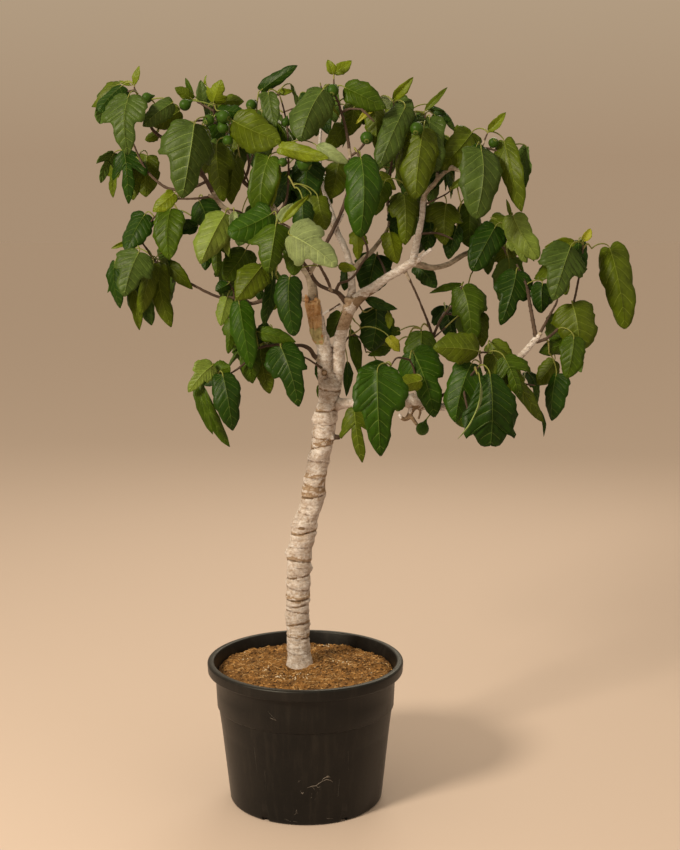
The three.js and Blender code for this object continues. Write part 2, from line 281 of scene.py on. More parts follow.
def moulded_plastic_group():
    """Black plastic with upright dust streaks, grey handling haze and fine pitting."""
    group = group_of("moulded_plastic", {"Dust": 0.5}, ["Plastic", "Dust colour"])
    ports = group.nodes["in"].outputs
    streaks = between(group, grain(group, 7, (9, 9, 0.7), 6, 0.65), 0.50, 0.74)
    haze = between(group, grain(group, 5, (1, 1, 1), 5, 0.6), 0.42, 0.78)
    specks = between(group, grain(group, 150, (1, 1, 1), 3, 0.7), 0.62, 0.76)
    dirt = sum_of(group, (streaks, 0.55), (haze, 0.4), (specks, 0.35))
    dirt = combine(group, "MULTIPLY", dirt, ports["Dust"])
    colour = blend_colours(group, dirt, ports["Plastic"], ports["Dust colour"])
    roughness = between(group, dirt, 0, 0.8, 0.36, 0.70)
    return give_out(group, colour, roughness, grain(group, 320, (1, 1, 0.5), 4, 0.7))


plastic_group = moulded_plastic_group()
black_plastic = surface("black_plastic", plastic_group, {"Dust": 0.40},
                        {"Plastic": (0.0040, 0.0037, 0.0037), "Dust colour": (0.046, 0.037, 0.030)},
                        bump=0.3, specular=0.24)
scratched_plastic = surface("scratched_plastic", plastic_group, {"Dust": 0.6},
                            {"Plastic": (0.16, 0.135, 0.12), "Dust colour": (0.30, 0.26, 0.22)}, bump=0.2)


def cut_notches(pot):
    """The six drain notches, cut through the foot."""
    cutter = Bundle()
    wide, deep, tall = (size / 2 for size in NOTCH)
    for i in range(NOTCHES):
        angle = (i + 0.5) * 2 * math.pi / NOTCHES
        out = Vector((math.sin(angle), -math.cos(angle), 0))
        side = Vector((math.cos(angle), math.sin(angle), 0))
        corners = []
        for up in (-1, 1):
            for across, along in ((-1, -1), (1, -1), (1, 1), (-1, 1)):
                narrow = 1 if up < 0 else 0.8
                corners.append(out * (FOOT_RADIUS + along * deep) + side * (across * wide * narrow)
                               + Vector((0, 0, up * tall)))
        cutter.add(corners, [(0, 1, 2, 3), (7, 6, 5, 4), (4, 5, 1, 0),
                             (5, 6, 2, 1), (6, 7, 3, 2), (7, 4, 0, 3)], 0)
    mesh = bpy.data.meshes.new("notch_cutter")
    mesh.from_pydata(cutter.points, [], cutter.faces)
    tool = bpy.data.objects.new("notch_cutter", mesh)
    bpy.context.scene.collection.objects.link(tool)
    cut = pot.modifiers.new("notches", "BOOLEAN")
    cut.object = tool
    cut.solver = "EXACT"
    apply_modifiers(pot)
    bpy.data.objects.remove(tool)


def apply_modifiers(piece):
    shaped = piece.evaluated_get(bpy.context.evaluated_depsgraph_get())
    mesh = bpy.data.meshes.new_from_object(shaped)
    piece.modifiers.clear()
    piece.data = mesh


def pot_wobble(angle, height):
    """A used pot is never quite round: a flat here, a soft dent there."""
    return 0.0007 * math.sin(2 * angle + 0.6) + 0.0004 * math.sin(5 * angle + 9 * height)


pot_bundle = Bundle()
pot_bundle.add(*turn_outline(pot_outline(), POT_SIDES), 0)
pot = pot_bundle.make("pot_shell", [black_plastic], "pot_plastic", ["pot"])
cut_notches(pot)

# Scratches and rubs from handling: hair-thin raised burrs of whitened plastic, most on the front.
# Each is a line of (degrees round from the front, height in metres) and a width in metres.
SCRATCHES = [
    ([(2, 0.104), (5, 0.108), (8, 0.109), (10, 0.115), (12, 0.119), (13, 0.127), (15, 0.130),
      (18, 0.128)], 0.0013),
    ([(-4, 0.119), (-2.6, 0.124)], 0.0022),
    ([(-2.2, 0.091), (-1, 0.089), (-0.2, 0.092)], 0.0024),
    ([(5, 0.084), (5.6, 0.093)], 0.0012),
    ([(8.6, 0.086), (9, 0.092)], 0.0016),
    ([(-21, 0.286), (-17, 0.281)], 0.0030),
    ([(-22, 0.300), (-17.5, 0.283)], 0.0012),
    ([(-7, 0.030), (-5.4, 0.036)], 0.0026),
    ([(-8, 0.012), (-5, 0.010)], 0.0012),
    ([(12, 0.119), (15, 0.124), (18, 0.120), (20, 0.114)], 0.0012),
    ([(5, 0.108), (7, 0.100), (7.4, 0.094)], 0.0011),
    ([(-2.6, 0.096), (-1.0, 0.086)], 0.0016),
    ([(30, 0.19), (31, 0.14)], 0.0009),
    ([(-35, 0.20), (-34, 0.13)], 0.0009),
    ([(150, 0.14), (158, 0.17), (163, 0.172)], 0.0016),
    ([(8, 0.109), (9.5, 0.104), (11, 0.106)], 0.0010),
    ([(13.5, 0.127), (16, 0.132), (17.5, 0.131)], 0.0022),
    ([(4.6, 0.076), (5.3, 0.079)], 0.0022),
    ([(7.4, 0.070), (7.8, 0.073)], 0.0018),
    ([(-6.2, 0.036), (-5.6, 0.044), (-4.9, 0.033)], 0.0022),
    ([(10.5, 0.098), (10.9, 0.101)], 0.0015),
    ([(-14, 0.016), (-10, 0.011)], 0.0013),
    ([(16, 0.018), (21, 0.014)], 0.0012),
    ([(-28, 0.09), (-27.6, 0.14)], 0.0007),
    ([(24, 0.07), (24.4, 0.12)], 0.0007),
]


def scratch(bundle, line, width):
    points = []
    for degrees, height in line:
        angle = math.radians(degrees)
        taper = 0.25 if (degrees, height) in (line[0], line[-1]) else 1.0
        for across in (-1, 1):
            for lift in (-0.0006, 0.0003):
                r = wall_radius(height) + lift + pot_wobble(angle, height)
                z = height + across * width * taper / 2
                points.append((r * math.sin(angle), -r * math.cos(angle), z))
    faces = [(0, 1, 3, 2)]
    for i in range(len(line) - 1):
        a = 4 * i
        faces += [(a, a + 4, a + 5, a + 1), (a + 1, a + 5, a + 7, a + 3)]
        faces += [(a + 3, a + 7, a + 6, a + 2), (a + 2, a + 6, a + 4, a)]
    end = 4 * (len(line) - 1)
    faces.append((end, end + 2, end + 3, end + 1))
    bundle.add(points, faces, 0)


scratches = Bundle()
for line, width in SCRATCHES:
    scratch(scratches, line, width)
scratches.make("pot_scratches", [scratched_plastic], "pot_plastic")

# ---- The potting mix ---------------------------------------------------------------------------
# Peat and bark fines with coir fibre and white perlite, heaped a little towards the trunk and
# sunk along the wall. Loose crumbs, fibres and perlite lie on it.

SOIL_EDGE = 0.338
SOIL_TOP = 0.3495
SOIL_RADIUS = WALL_UNDER_RIM - WALL - 0.0012
SOIL_RINGS = 46
SOIL_SIDES = 150
TRUNK_FOOT = Vector((-0.016, 0.020, 0.350))
CRUMBS = 4600
LUMPS = 260
FIBRES = 460
PERLITE = 120
PERLITE_PLACES = [(-0.147, 0.072), (-0.062, -0.086), (-0.024, -0.093), (0.001, -0.086), (0.048, 0.173),
                  (-0.10, -0.02), (0.10, 0.03)]


def soil_height(x, y):
    """Level of the mix: a low mound with hollows, ridges and a crust."""
    reach = math.hypot(x, y) / SOIL_RADIUS
    mound = SOIL_EDGE + (SOIL_TOP - 0.003 - SOIL_EDGE) * (1 - reach ** 2.2)
    spot = Vector((x, y, 0))
    uneven = (0.0070 * noise.noise(spot * 11) + 0.0056 * noise.noise(spot * 33)
              + 0.0034 * noise.noise(spot * 95))
    sunk = 0.013 * max(reach - 0.88, 0) / 0.12 * (0.55 + noise.noise(spot * 16))
    beside_trunk = math.exp(-((math.hypot(x - TRUNK_FOOT.x, y - TRUNK_FOOT.y) - 0.040) / 0.016) ** 2)
    return mound + uneven - max(sunk, 0) - 0.0016 * beside_trunk


def potting_mix_group():
    """Crumbly brown mix: dark damp patches, dry tan patches, fine speckle."""
    group = group_of("potting_mix", {"Dryness": 0.5}, ["Damp", "Dry", "Fleck"])
    ports = group.nodes["in"].outputs
    patches = between(group, grain(group, 26, (1, 1, 1), 7, 0.74), 0.40, 0.60)
    dryness = combine(group, "SUBTRACT", ports["Dryness"], 0.35)
    share = combine(group, "ADD", combine(group, "MULTIPLY", patches, 0.7), dryness)
    ground = blend_colours(group, share, ports["Damp"], ports["Dry"])
    flecks = between(group, grain(group, 420, (1, 1, 1), 3, 0.7), 0.58, 0.70)
    return give_out(group, blend_colours(group, flecks, ground, ports["Fleck"]),
                    between(group, patches, 0, 1, 0.8, 0.98), grain(group, 500, (1, 1, 1), 5, 0.8))


mix_group = potting_mix_group()
# Dryness; damp, dry and fleck colours; strength and depth of the relief; shine.
MIX = {
    "mix_ground": (0.5, [(0.060, 0.024, 0.006), (0.32, 0.155, 0.045),
                         (0.44, 0.26, 0.095)], 0.9, 0.002, 0.2),
    "mix_dark": (0.3, [(0.030, 0.013, 0.005), (0.14, 0.066, 0.022), (0.25, 0.13, 0.05)], 0.7, 0.001, 0.2),
    "mix_tan": (0.7, [(0.25, 0.115, 0.033), (0.47, 0.25, 0.085), (0.54, 0.33, 0.13)], 0.7, 0.001, 0.2),
    "mix_straw": (0.7, [(0.36, 0.22, 0.09), (0.56, 0.37, 0.18), (0.6, 0.42, 0.24)], 0.5, 0.001, 0.25),
    "perlite_white": (0.6, [(0.50, 0.42, 0.32), (0.74, 0.66, 0.54), (0.8, 0.74, 0.64)], 0.5, 0.001, 0.3),
}
mix_looks = [surface(name, mix_group, {"Dryness": dryness},
                     dict(zip(("Damp", "Dry", "Fleck"), colours)), *relief_and_shine)
             for name, (dryness, colours, *relief_and_shine) in MIX.items()]


def soil_bed():
    points = []
    faces = []
    for ring in range(SOIL_RINGS + 1):
        r = max(SOIL_RADIUS * ring / SOIL_RINGS, 0.0005)
        for i in range(SOIL_SIDES):
            angle = 2 * math.pi * i / SOIL_SIDES
            x = r * math.cos(angle)
            y = r * math.sin(angle)
            points.append((x, y, soil_height(x, y)))
    for ring in range(SOIL_RINGS):
        for i in range(SOIL_SIDES):
            a = ring * SOIL_SIDES + i
            b = ring * SOIL_SIDES + (i + 1) % SOIL_SIDES
            faces.append((a, a + SOIL_SIDES, b + SOIL_SIDES, b))
    rim = SOIL_RINGS * SOIL_SIDES
    base = len(points)
    for i in range(SOIL_SIDES):
        angle = 2 * math.pi * i / SOIL_SIDES
        r = WALL_BELOW_LEDGE - WALL - 0.004
        points.append((r * math.cos(angle), r * math.sin(angle), LEDGE_HEIGHT - 0.02))
    for i in range(SOIL_SIDES):
        j = (i + 1) % SOIL_SIDES
        faces.append((rim + i, base + i, base + j, rim + j))
    faces.append(tuple(range(SOIL_SIDES)))
    faces.append(tuple(base + i for i in reversed(range(SOIL_SIDES))))
    return points, faces


def chip(rng, centre, size, flat):
    """A small broken lump: an eight-sided crumb with every corner moved a little."""
    corners = []
    spin = rng.random() * math.pi
    for direction in ((1, 0, 0), (0, 1, 0), (-1, 0, 0), (0, -1, 0), (0, 0, 1), (0, 0, -1)):
        x, y, z = (component * size * rng.uniform(0.6, 1.25) for component in direction)
        turned = (x * math.cos(spin) - y * math.sin(spin), x * math.sin(spin) + y * math.cos(spin))
        corners.append((centre[0] + turned[0], centre[1] + turned[1], centre[2] + z * flat))
    faces = [(0, 1, 4), (1, 2, 4), (2, 3, 4), (3, 0, 4), (1, 0, 5), (2, 1, 5), (3, 2, 5), (0, 3, 5)]
    return corners, faces


def spot_on_soil(rng, reach=0.985):
    """A place on the mix that the trunk doesn't cover."""
    while True:
        r = SOIL_RADIUS * reach * math.sqrt(rng.random())
        angle = rng.random() * 2 * math.pi
        x = r * math.cos(angle)
        y = r * math.sin(angle)
        if math.hypot(x - TRUNK_FOOT.x, y - TRUNK_FOOT.y) > 0.037:
            return x, y


def loose_mix():
    rng = random.Random(11)
    crumbs = Bundle()
    for _ in range(CRUMBS):
        x, y = spot_on_soil(rng)
        size = 0.0011 + 0.0030 * rng.random() ** 2.4
        crumbs.add(*chip(rng, (x, y, soil_height(x, y) + size * 0.25), size, 0.7),
                   rng.choice((0, 0, 1, 2, 2, 0)))
    for _ in range(LUMPS):
        x, y = spot_on_soil(rng)
        size = rng.uniform(0.0035, 0.0075)
        crumbs.add(*chip(rng, (x, y, soil_height(x, y)), size, 0.6), rng.choice((0, 1, 1, 0)))
    for index in range(PERLITE):
        x, y = spot_on_soil(rng)
        if index % 4:
            middle = rng.choice(PERLITE_PLACES)
            x = middle[0] + rng.gauss(0, 0.011)
            y = middle[1] + rng.gauss(0, 0.011)
        size = rng.uniform(0.0010, 0.0027)
        crumbs.add(*chip(rng, (x, y, soil_height(x, y) + size * 0.3), size, 0.8), 4)
    for _ in range(FIBRES):
        x, y = spot_on_soil(rng, 0.95)
        angle = rng.random() * math.pi
        length = rng.uniform(0.005, 0.020)
        along = Vector((math.cos(angle), math.sin(angle), 0))
        side = Vector((-along.y, along.x, 0)) * rng.uniform(0.0003, 0.0008)
        points = []
        for step in (-0.5, -0.15, 0.2, 0.5):
            spot = Vector((x, y, 0)) + along * (step * length) + side * rng.uniform(-3, 3)
            spot.z = soil_height(spot.x, spot.y) + 0.0009
            points += [spot - side, spot + side, spot + Vector((0, 0, 0.0008))]
        faces = [(0, 1, 2), (11, 10, 9)]
        for i in range(3):
            for j in range(3):
                a = 3 * i + j
                b = 3 * i + (j + 1) % 3
                faces.append((a, a + 3, b + 3, b))
        crumbs.add([tuple(p) for p in points], faces, 3)
    return crumbs


bed = Bundle()
bed.add(*soil_bed(), 0)
bed.make("potting_mix_bed", mix_looks[:1], "potting_mix", ["soil"])
loose_mix().make("potting_mix_crumbs", mix_looks, "potting_mix", ["soil"], smooth=False)

# ---- The old wood ------------------------------------------------------------------------------
# The trunk, its two leaders and the boughs: smooth pale grey fig bark, ringed where leaves and
# shoots once grew. The left leader is stripped to orange wood where it once broke off. All of it
# grew as one, so it is skinned as one piece, and its rings, scars and wrinkles stand in relief.
# A limb is a list of places: x and z in centimetres on the upright plane through the trunk as
# seen from the camera, how far behind (+) or before (-) that plane it lies, and its radius.

CM = 0.01

# Height, middle and half width of the trunk, in millimetres.
TRUNK_OUTLINE = [
    (350, -15.5, 32.6), (362, -15.5, 31.4), (387, -18, 30.3), (429, -19.2, 29.4), (470, -19.8, 29.6),
    (524, -19.9, 30.4), (574, -16.7, 30.6), (640, -14.8, 31.2), (680, -7.5, 31.8), (716, 1, 31.9),
    (785, 19.6, 29.6), (857, 29, 26.8), (926, 43.7, 28.2), (995, 52.9, 30.2), (1029, 60, 26.4),
    (1064, 61.2, 27.4), (1080, 62, 24), (1095, 63, 16), (1106, 64, 6),
]
# Rings left by old leaf scars: height on the front, depth, and height of the browned bark above
# the ring, in mm. The trunk swells between them.
RINGS = ((330, 1, 0), (378, 0.4, 0), (421, 1.7, 10), (456, 0.8, 6), (489, 0.8, 4), (504, 1.4, 3),
         (519, 2.2, 15), (548, 0.4, 0), (580, 2.3, 4), (623, 1.2, 10), (660, 0.4, 0), (695, 3.4, 6),
         (745, 0.2, 0), (787, 2.8, 34), (838, 0.7, 12), (880, 0.4, 0), (918, 1.5, 16), (936, 1, 3),
         (972, 0.2, 0), (1006, 1.4, 6), (1057, 2, 3), (1120, 0.3, 0), (1170, 0.4, 0), (1210, 0.4, 0))
# Single swellings: height in mm, degrees round from the right towards the back, height of the
# swelling and its reach in mm.
SWELLINGS = [
    (873, 0, 4, 11), (791, -10, 4.5, 11), (715, 190, 5, 13), (693, -10, 3.5, 10),
    (642, 185, 4, 12), (600, 0, 3, 9), (565, 180, 3, 9), (937, -35, 4.5, 7), (520, -15, 3.5, 10),
    (478, 190, 3, 10), (452, 0, 3, 9), (834, 190, 3, 10), (758, -60, 2.5, 9),
    (714, -102, 5, 12), (742, -60, 2.5, 11), (655, -100, 2.5, 11), (905, -95, 2, 10),
    (1010, -80, 2, 10), (985, 185, 3, 12), (1120, 190, 3, 12), (346, -150, 2.5, 16),
    (344, -30, 2.5, 15), (700, 90, 3, 12), (850, 100, 3.5, 13), (980, 80, 3, 12),
    (540, 95, 3, 12),
]
# The round scar of a shoot, the lip-shaped scar low on the front and the dry bud on the right.
KNOT = Vector((0.050, -0.015, 1.103))
LIP_SCAR = Vector((-0.007, -0.021, 0.711))
DRY_BUD = Vector((0.086, 0.000, 0.937))

LIMBS = {
    "leader_left": [(5.5, 105, .5, 1.95), (5.05, 110, .4, 1.86), (4.9, 114.5, .2, 1.80),
        (4.7, 117.2, .1, 1.84), (3.5, 119.8, .1, 2.1), (3, 122.8, 0, 2), (2, 127.6, -.5, 2)],
    "leader_right": [(7, 105, .6, 1.9), (8.1, 110, .9, 1.66), (8.45, 114.5, .9, 1.66),
        (8.65, 117.2, .6, 1.60), (9.3, 120.5, .1, 1.46), (10.5, 124, -.5, 1.5), (11.5, 128.4, -1, 1.6)],
    "bough_top_left_stem": [(2.2, 126, .6, 1.4), (2, 131, 1.2, 1.2), (.6, 134.8, 2.2, .95),
        (-2.7, 138.8, 3.6, .75), (-7, 148.6, 6, .7)],
    "bough_top_left": [(-7, 148.6, 6, .68), (-10.7, 153.3, 6.5, .6), (-14.6, 156.6, 7, .55),
        (-17.3, 160.6, 7, .5), (-19.9, 164.8, 7, .5), (-21.3, 169.2, 6, .45)],
    "bough_front_left_stem": [(10.4, 127.2, -.8, .8), (8.4, 129.6, -2, .62), (6.4, 130.4, -3, .55),
        (3.2, 132, -4, .5), (1.1, 135.4, -5, .46), (-.6, 137.6, -5.8, .48), (-1.9, 138.9, -6, .55)],
    "bough_upper_left": [(-1.4, 138.4, -6, .5), (-5.5, 140.4, -7, .5), (-10.3, 143.6, -8, .52),
        (-15, 147.3, -9, .55), (-19.9, 150.7, -10, .6)],
    "bough_far_left": [(-19.9, 150.7, -10, .6), (-21.6, 153.2, -10.5, .55), (-23.5, 156.7, -11, .55),
        (-25.1, 159.4, -11, .5), (-26.5, 162.5, -11.5, .48), (-31, 165.3, -12, .45), (-35.4, 168, -12, .42),
        (-37.2, 170.4, -12, .4), (-38.6, 173.5, -12, .36), (-39.8, 177.3, -12, .3)],
    "bough_left_middle": [(3, 127, 0, .9), (-.6, 128.3, 1, .64), (-5, 128.4, 1.5, .58),
        (-9.5, 128, 2, .52), (-13.2, 127.1, 3, .5), (-17, 128.4, 4, .46), (-20.5, 128.6, 4.5, .4),
        (-23, 129.5, 5, .38), (-27, 131.5, 5.5, .38), (-31, 133.6, 6, .36), (-34.5, 135.8, 6, .34),
        (-36.5, 137.6, 6, .32)],
    "bough_left_low_stem": [(4.6, 112.8, 0, .9), (2.6, 114, -1.2, .64), (1.3, 115.9, -2, .56),
        (-.8, 116.8, -2.6, .5), (-3, 116.6, -3.2, .48), (-5.5, 116.9, -4, .44), (-9, 116.7, -5, .4),
        (-11.5, 116, -6, .38)],
    "bough_left_low": [(-11.5, 116, -6, .38), (-13.2, 114, -8, .34), (-15, 112.2, -9, .31),
        (-17, 110.6, -10, .29), (-19.5, 109.3, -11.5, .27), (-21.5, 109.3, -12.5, .24)],
    "bough_back_left": [(-1.3, 136.5, 3, .6), (-3.5, 142, 9, .6), (-6.5, 149, 18, .55),
        (-9.5, 155.5, 26, .5), (-11.8, 163, 33, .42)],
    "bough_crossing": [(1.5, 134.6, -4.8, .52), (5, 141, -6, .5), (9.3, 149.8, -6, .5),
        (11.3, 157, -5.5, .48), (11.2, 162.6, -5, .46)],
    "bough_top_centre": [(11.2, 162.6, -5, .46), (10.8, 166, -5, .42), (10, 170, -5.5, .4),
        (9.1, 173, -6, .38), (8.4, 175.4, -6, .34), (7.4, 177.6, -6, .3)],
    "bough_centre": [(11.2, 126.5, -.6, 1.2), (11.7, 131, .5, .98), (11.4, 134.8, 1.5, .9),
        (10.7, 138.5, 2.5, .85), (9.5, 141.6, 3.5, .8), (8.1, 144.6, 5, .78), (7.1, 148, 6.5, .76),
        (6, 151, 8, .7), (5, 154, 9.5, .6), (4.2, 158, 11, .5), (3.9, 165, 12.5, .42),
        (4.4, 171.5, 13, .32)],
    "bough_centre_right": [(12.2, 135.6, 1.5, .75), (14.2, 137.8, 3.5, .66), (16.3, 139.6, 5.5, .62),
        (18.4, 142.2, 7.5, .56), (20.1, 144.6, 9, .5), (20.8, 147, 10, .44), (20.3, 150.9, 11, .4)],
    "bough_back": [(8.7, 143.2, 4.5, .6), (6.5, 147, 12, .55), (3.5, 152.5, 21, .5), (.65, 157.8, 29, .4)],
    "bough_front": [(6.6, 130.4, -3, .45), (5.6, 133, -10, .4), (3.5, 137, -19, .36),
        (1.4, 141.9, -29, .3)],
    "bough_right": [(10.9, 125.6, -.8, 1.7), (13.4, 128.6, -1, 1.5), (16.4, 130.6, -1.5, 1.25),
        (20.2, 133.3, -2, 1.1), (23.6, 135.4, -2.5, 1.08), (26.8, 137.4, -3, 1.1)],
    "bough_right_upper": [(26.6, 137, -3, 1.1), (27.3, 141, -2, .88), (27.9, 144, -1, .82),
        (28.7, 148, 0, .74), (28.9, 151.8, 1, .72)],
    "bough_right_top": [(28.9, 151.8, 1, .72), (29.6, 154, .8, .64), (31.3, 155.8, .5, .6),
        (32.8, 157.6, 0, .56), (34.3, 159, 0, .55), (35.9, 160, -.5, .78), (37.3, 159.2, -.5, .42),
        (38.5, 159.3, -.7, .36), (40, 160.5, -1, .36), (41.6, 162.2, -1, .34), (43, 164.5, -1, .32),
        (43.6, 166.6, -1, .26)],
    "bough_back_right": [(28.1, 145, 0, .6), (29.3, 149, 14, .55), (29.4, 155, 27, .5),
        (28.9, 159.6, 37, .4)],
    "bough_right_outer": [(27, 136.9, -3, .9), (31, 135.9, -1, .74), (35, 136.6, 2, .68),
        (38.4, 138.7, 4.5, .68), (41, 140, 6, .62), (43.7, 142.3, 7, .56)],
    "bough_right_drop": [(24.6, 135.2, -2.5, .5), (26, 132.6, -2.4, .33), (27.6, 129.3, -1.8, .32),
        (29, 126, -.8, .33), (30.3, 122.8, .6, .36), (31.4, 119.5, 2.4, .4), (31.6, 117, 4, .38)],
    "bough_low_right_stem": [(6.8, 101.6, .4, 1.9), (9.4, 102.3, -1, 1.35), (13, 102.3, -3, 1.1),
        (18, 102, -6, 1.05), (22.8, 102.4, -8, 1.15), (25.2, 102.9, -9, 1.6), (27.6, 102.9, -9, 2.1),
        (29, 102.5, -9.3, 1.6)],
    "bough_low_right": [(28.8, 102.2, -9.3, 1.3), (31.4, 101.6, -9.8, 1), (35, 101.6, -10.3, .95),
        (41, 104, -11.5, .9), (47.5, 108.8, -12, .84), (53.5, 114.2, -12, .8), (57, 118.4, -11, .72)],
    "bough_far_right": [(57, 118.2, -11, .62), (58.3, 120.3, -10, .42), (59.6, 122.8, -9, .36),
        (61, 125.5, -8, .33), (62.1, 128, -7, .3), (62.3, 133, -6, .26)],
}
# Short cut or broken stubs and knobs on the limbs.
STUBS = [
    [(8.9, 126.9, -1.5, .5), (7.2, 125.9, -2.5, .33), (5.6, 125.1, -3, .3), (4.5, 124.3, -3.3, .38)],
    [(1.2, 126.5, -.6, .7), (.6, 128.4, -.8, .5), (.4, 129.3, -.9, .2)],
    [(3.1, 126.5, -1, .6), (3, 128.6, -1.2, .35)],
    [(6.6, 93.7, .2, .75), (8.1, 93.7, 0, .80), (8.8, 93.7, 0, .55)],
    [(27.8, 137.6, -3.5, .7), (29.6, 139.2, -5, .52), (31.1, 140.3, -6, .5)],
    [(32.4, 157.2, 0, .5), (32.2, 158.8, .2, .34)],
    [(6.3, 143.3, 3.4, .4), (7.9, 145.9, 4.2, .42), (9.7, 148.9, 4, .38)],
    [(-14.2, 157.3, 7, .42), (-13.2, 160.5, 6, .4), (-13.6, 163.2, 5, .34)],
    [(-21.3, 152.6, -10.5, .5), (-23.1, 153.4, -12.6, .36)],
    [(-24.4, 157.9, -11, .5), (-26, 158.9, -9.4, .34)],
    [(27, 101.6, -9.4, .9), (25.6, 98.7, -9.5, .62), (24.4, 98.4, -10, .5), (23.5, 99.6, -10.6, .42)],
    [(26.6, 98.9, -9.8, .5), (28, 96.9, -10.4, .42)],
    [(28.9, 102, -9.4, .7), (28.7, 99.9, -9.8, .36), (28.3, 98.4, -10.4, .33)],
    [(27.9, 104.2, -9, .6), (27.7, 106, -9.6, .34)],
    [(34.6, 102.4, -10.2, .5), (34.4, 100.4, -10.6, .26)],
    [(57, 118, -11, .72), (58.3, 119.9, -11.4, .5)],
]
OUTLINE_STEP = 0.006
VOXEL = 0.0025


def set_back(x, z, depth):
    """The real place of a point seen at (x, z) on the trunk's plane and lying behind it by depth."""
    on_plane = Vector((x * CM, 0, z * CM))
    return EYE + (on_plane - EYE) * ((depth * CM - EYE.y) / -EYE.y)


def flowing(knots, step):
    """A smooth line through knots of (place, radius), as evenly spaced places and radii."""
    line = []
    for i in range(len(knots) - 1):
        before = knots[max(i - 1, 0)]
        start, end = knots[i], knots[i + 1]
        after = knots[min(i + 2, len(knots) - 1)]
        parts = max(1, round((end[0] - start[0]).length / step))
        for part in range(parts):
            t = part / parts
            spot = []
            for a, b, c, d in zip((*before[0], before[1]), (*start[0], start[1]), (*end[0], end[1]),
                                  (*after[0], after[1])):
                spot.append(0.5 * (2 * b + (c - a) * t + (2 * a - 5 * b + 4 * c - d) * t * t
                                   + (3 * b - a - 3 * c + d) * t ** 3))
            line.append((Vector(spot[:3]), spot[3]))
    line.append(knots[-1])
    return line


def limb_line(places, step=OUTLINE_STEP):
    return flowing([(set_back(x, z, depth), r * CM) for x, z, depth, r in places], step)


def tube(line, sides, blunt=True):
    """A closed skin round a line of places and radii."""
    points = []
    tangent = (line[1][0] - line[0][0]).normalized()
    across = tangent.orthogonal().normalized()
    for i, (place, radius) in enumerate(line):
        ahead = line[min(i + 1, len(line) - 1)][0] - line[max(i - 1, 0)][0]
        if ahead.length > 1e-9:
            turned = ahead.normalized()
            across = tangent.rotation_difference(turned) @ across
            tangent = turned
        side = tangent.cross(across)
        for k in range(sides):
            angle = 2 * math.pi * k / sides
            points.append(place + (across * math.cos(angle) + side * math.sin(angle)) * radius)
    lift = 0.25 if blunt else 1.0
    points.append(line[0][0] - (line[1][0] - line[0][0]).normalized() * line[0][1] * lift)
    points.append(line[-1][0] + (line[-1][0] - line[-2][0]).normalized() * line[-1][1] * lift)
    faces = round_faces(0, len(line), sides, len(points) - 2, len(points) - 1)
    return [tuple(p) for p in points], faces


def trunk_middle(height):
    """Middle and half width of the trunk at a height, all in metres."""
    rows = TRUNK_OUTLINE
    mm = height * 1000
    for (low, x0, r0), (high, x1, r1) in zip(rows, rows[1:]):
        if mm <= high:
            t = max(0, (mm - low) / (high - low))
            t = t * t * (3 - 2 * t)
            return (x0 + (x1 - x0) * t) / 1000, (r0 + (r1 - r0) * t) / 1000
    return rows[-1][1] / 1000, rows[-1][2] / 1000


def trunk_depth(height):
    return 0.020 * (1 - (height - 0.35) / 0.812)


def trunk_skin():
    """The trunk alone, ring on ring, cut flat at the soil."""
    sides = 40
    step = 0.005
    foot = 0.336
    top = 1.106
    rings = round((top - foot) / step)
    points = []
    for ring in range(rings + 1):
        height = foot + step * ring
        middle, half = trunk_middle(height)
        for k in range(sides):
            angle = 2 * math.pi * k / sides
            points.append((middle + half * math.cos(angle),
                           trunk_depth(height) + half * math.sin(angle), height))
    faces = band_faces(0, rings, sides)
    faces.append(tuple(reversed(range(sides))))
    faces.append(tuple(rings * sides + k for k in range(sides)))
    return points, faces


def wrinkles(spot):
    """Small-scale relief of the bark, in metres."""
    coarse = 0.0008 * noise.noise(Vector((spot.x * 20, spot.y * 20, spot.z * 60)))
    lines = 0.0010 * noise.noise(Vector((spot.x * 26, spot.y * 26, spot.z * 130)))
    fine = 0.0005 * noise.noise(Vector((spot.x * 130, spot.y * 130, spot.z * 190)))
    return coarse + lines + fine


def around_trunk(spot):
    return math.atan2(spot.y - trunk_depth(spot.z), spot.x - trunk_middle(spot.z)[0])


def rings_round(spot, around):
    """The ring below a spot on the trunk, and how far in mm it and the next ring up are."""
    turn = around + math.pi / 2
    tilted = [height + 5.0 * math.sin(turn) * math.sin(index * 2.4 + 1)
              + 4 * (1 - math.cos(turn)) * math.cos(index)
              + 1.6 * noise.noise(Vector((spot.x * 70, spot.y * 70, index * 1.7)))
              for index, (height, _, _) in enumerate(RINGS)]
    height = spot.z * 1000
    upper = next((index for index, ring in enumerate(tilted) if ring > height), len(tilted) - 1)
    return upper - 1, height - tilted[upper - 1], tilted[upper] - height


def lip_scar_at(spot):
    """How far a spot on the front lies from the middle of the lip-shaped scar: 1 is on its rim."""
    flat = spot - LIP_SCAR
    return math.hypot(flat.x / 0.0088, flat.z / 0.0036) if flat.y < 0.01 else 9.0


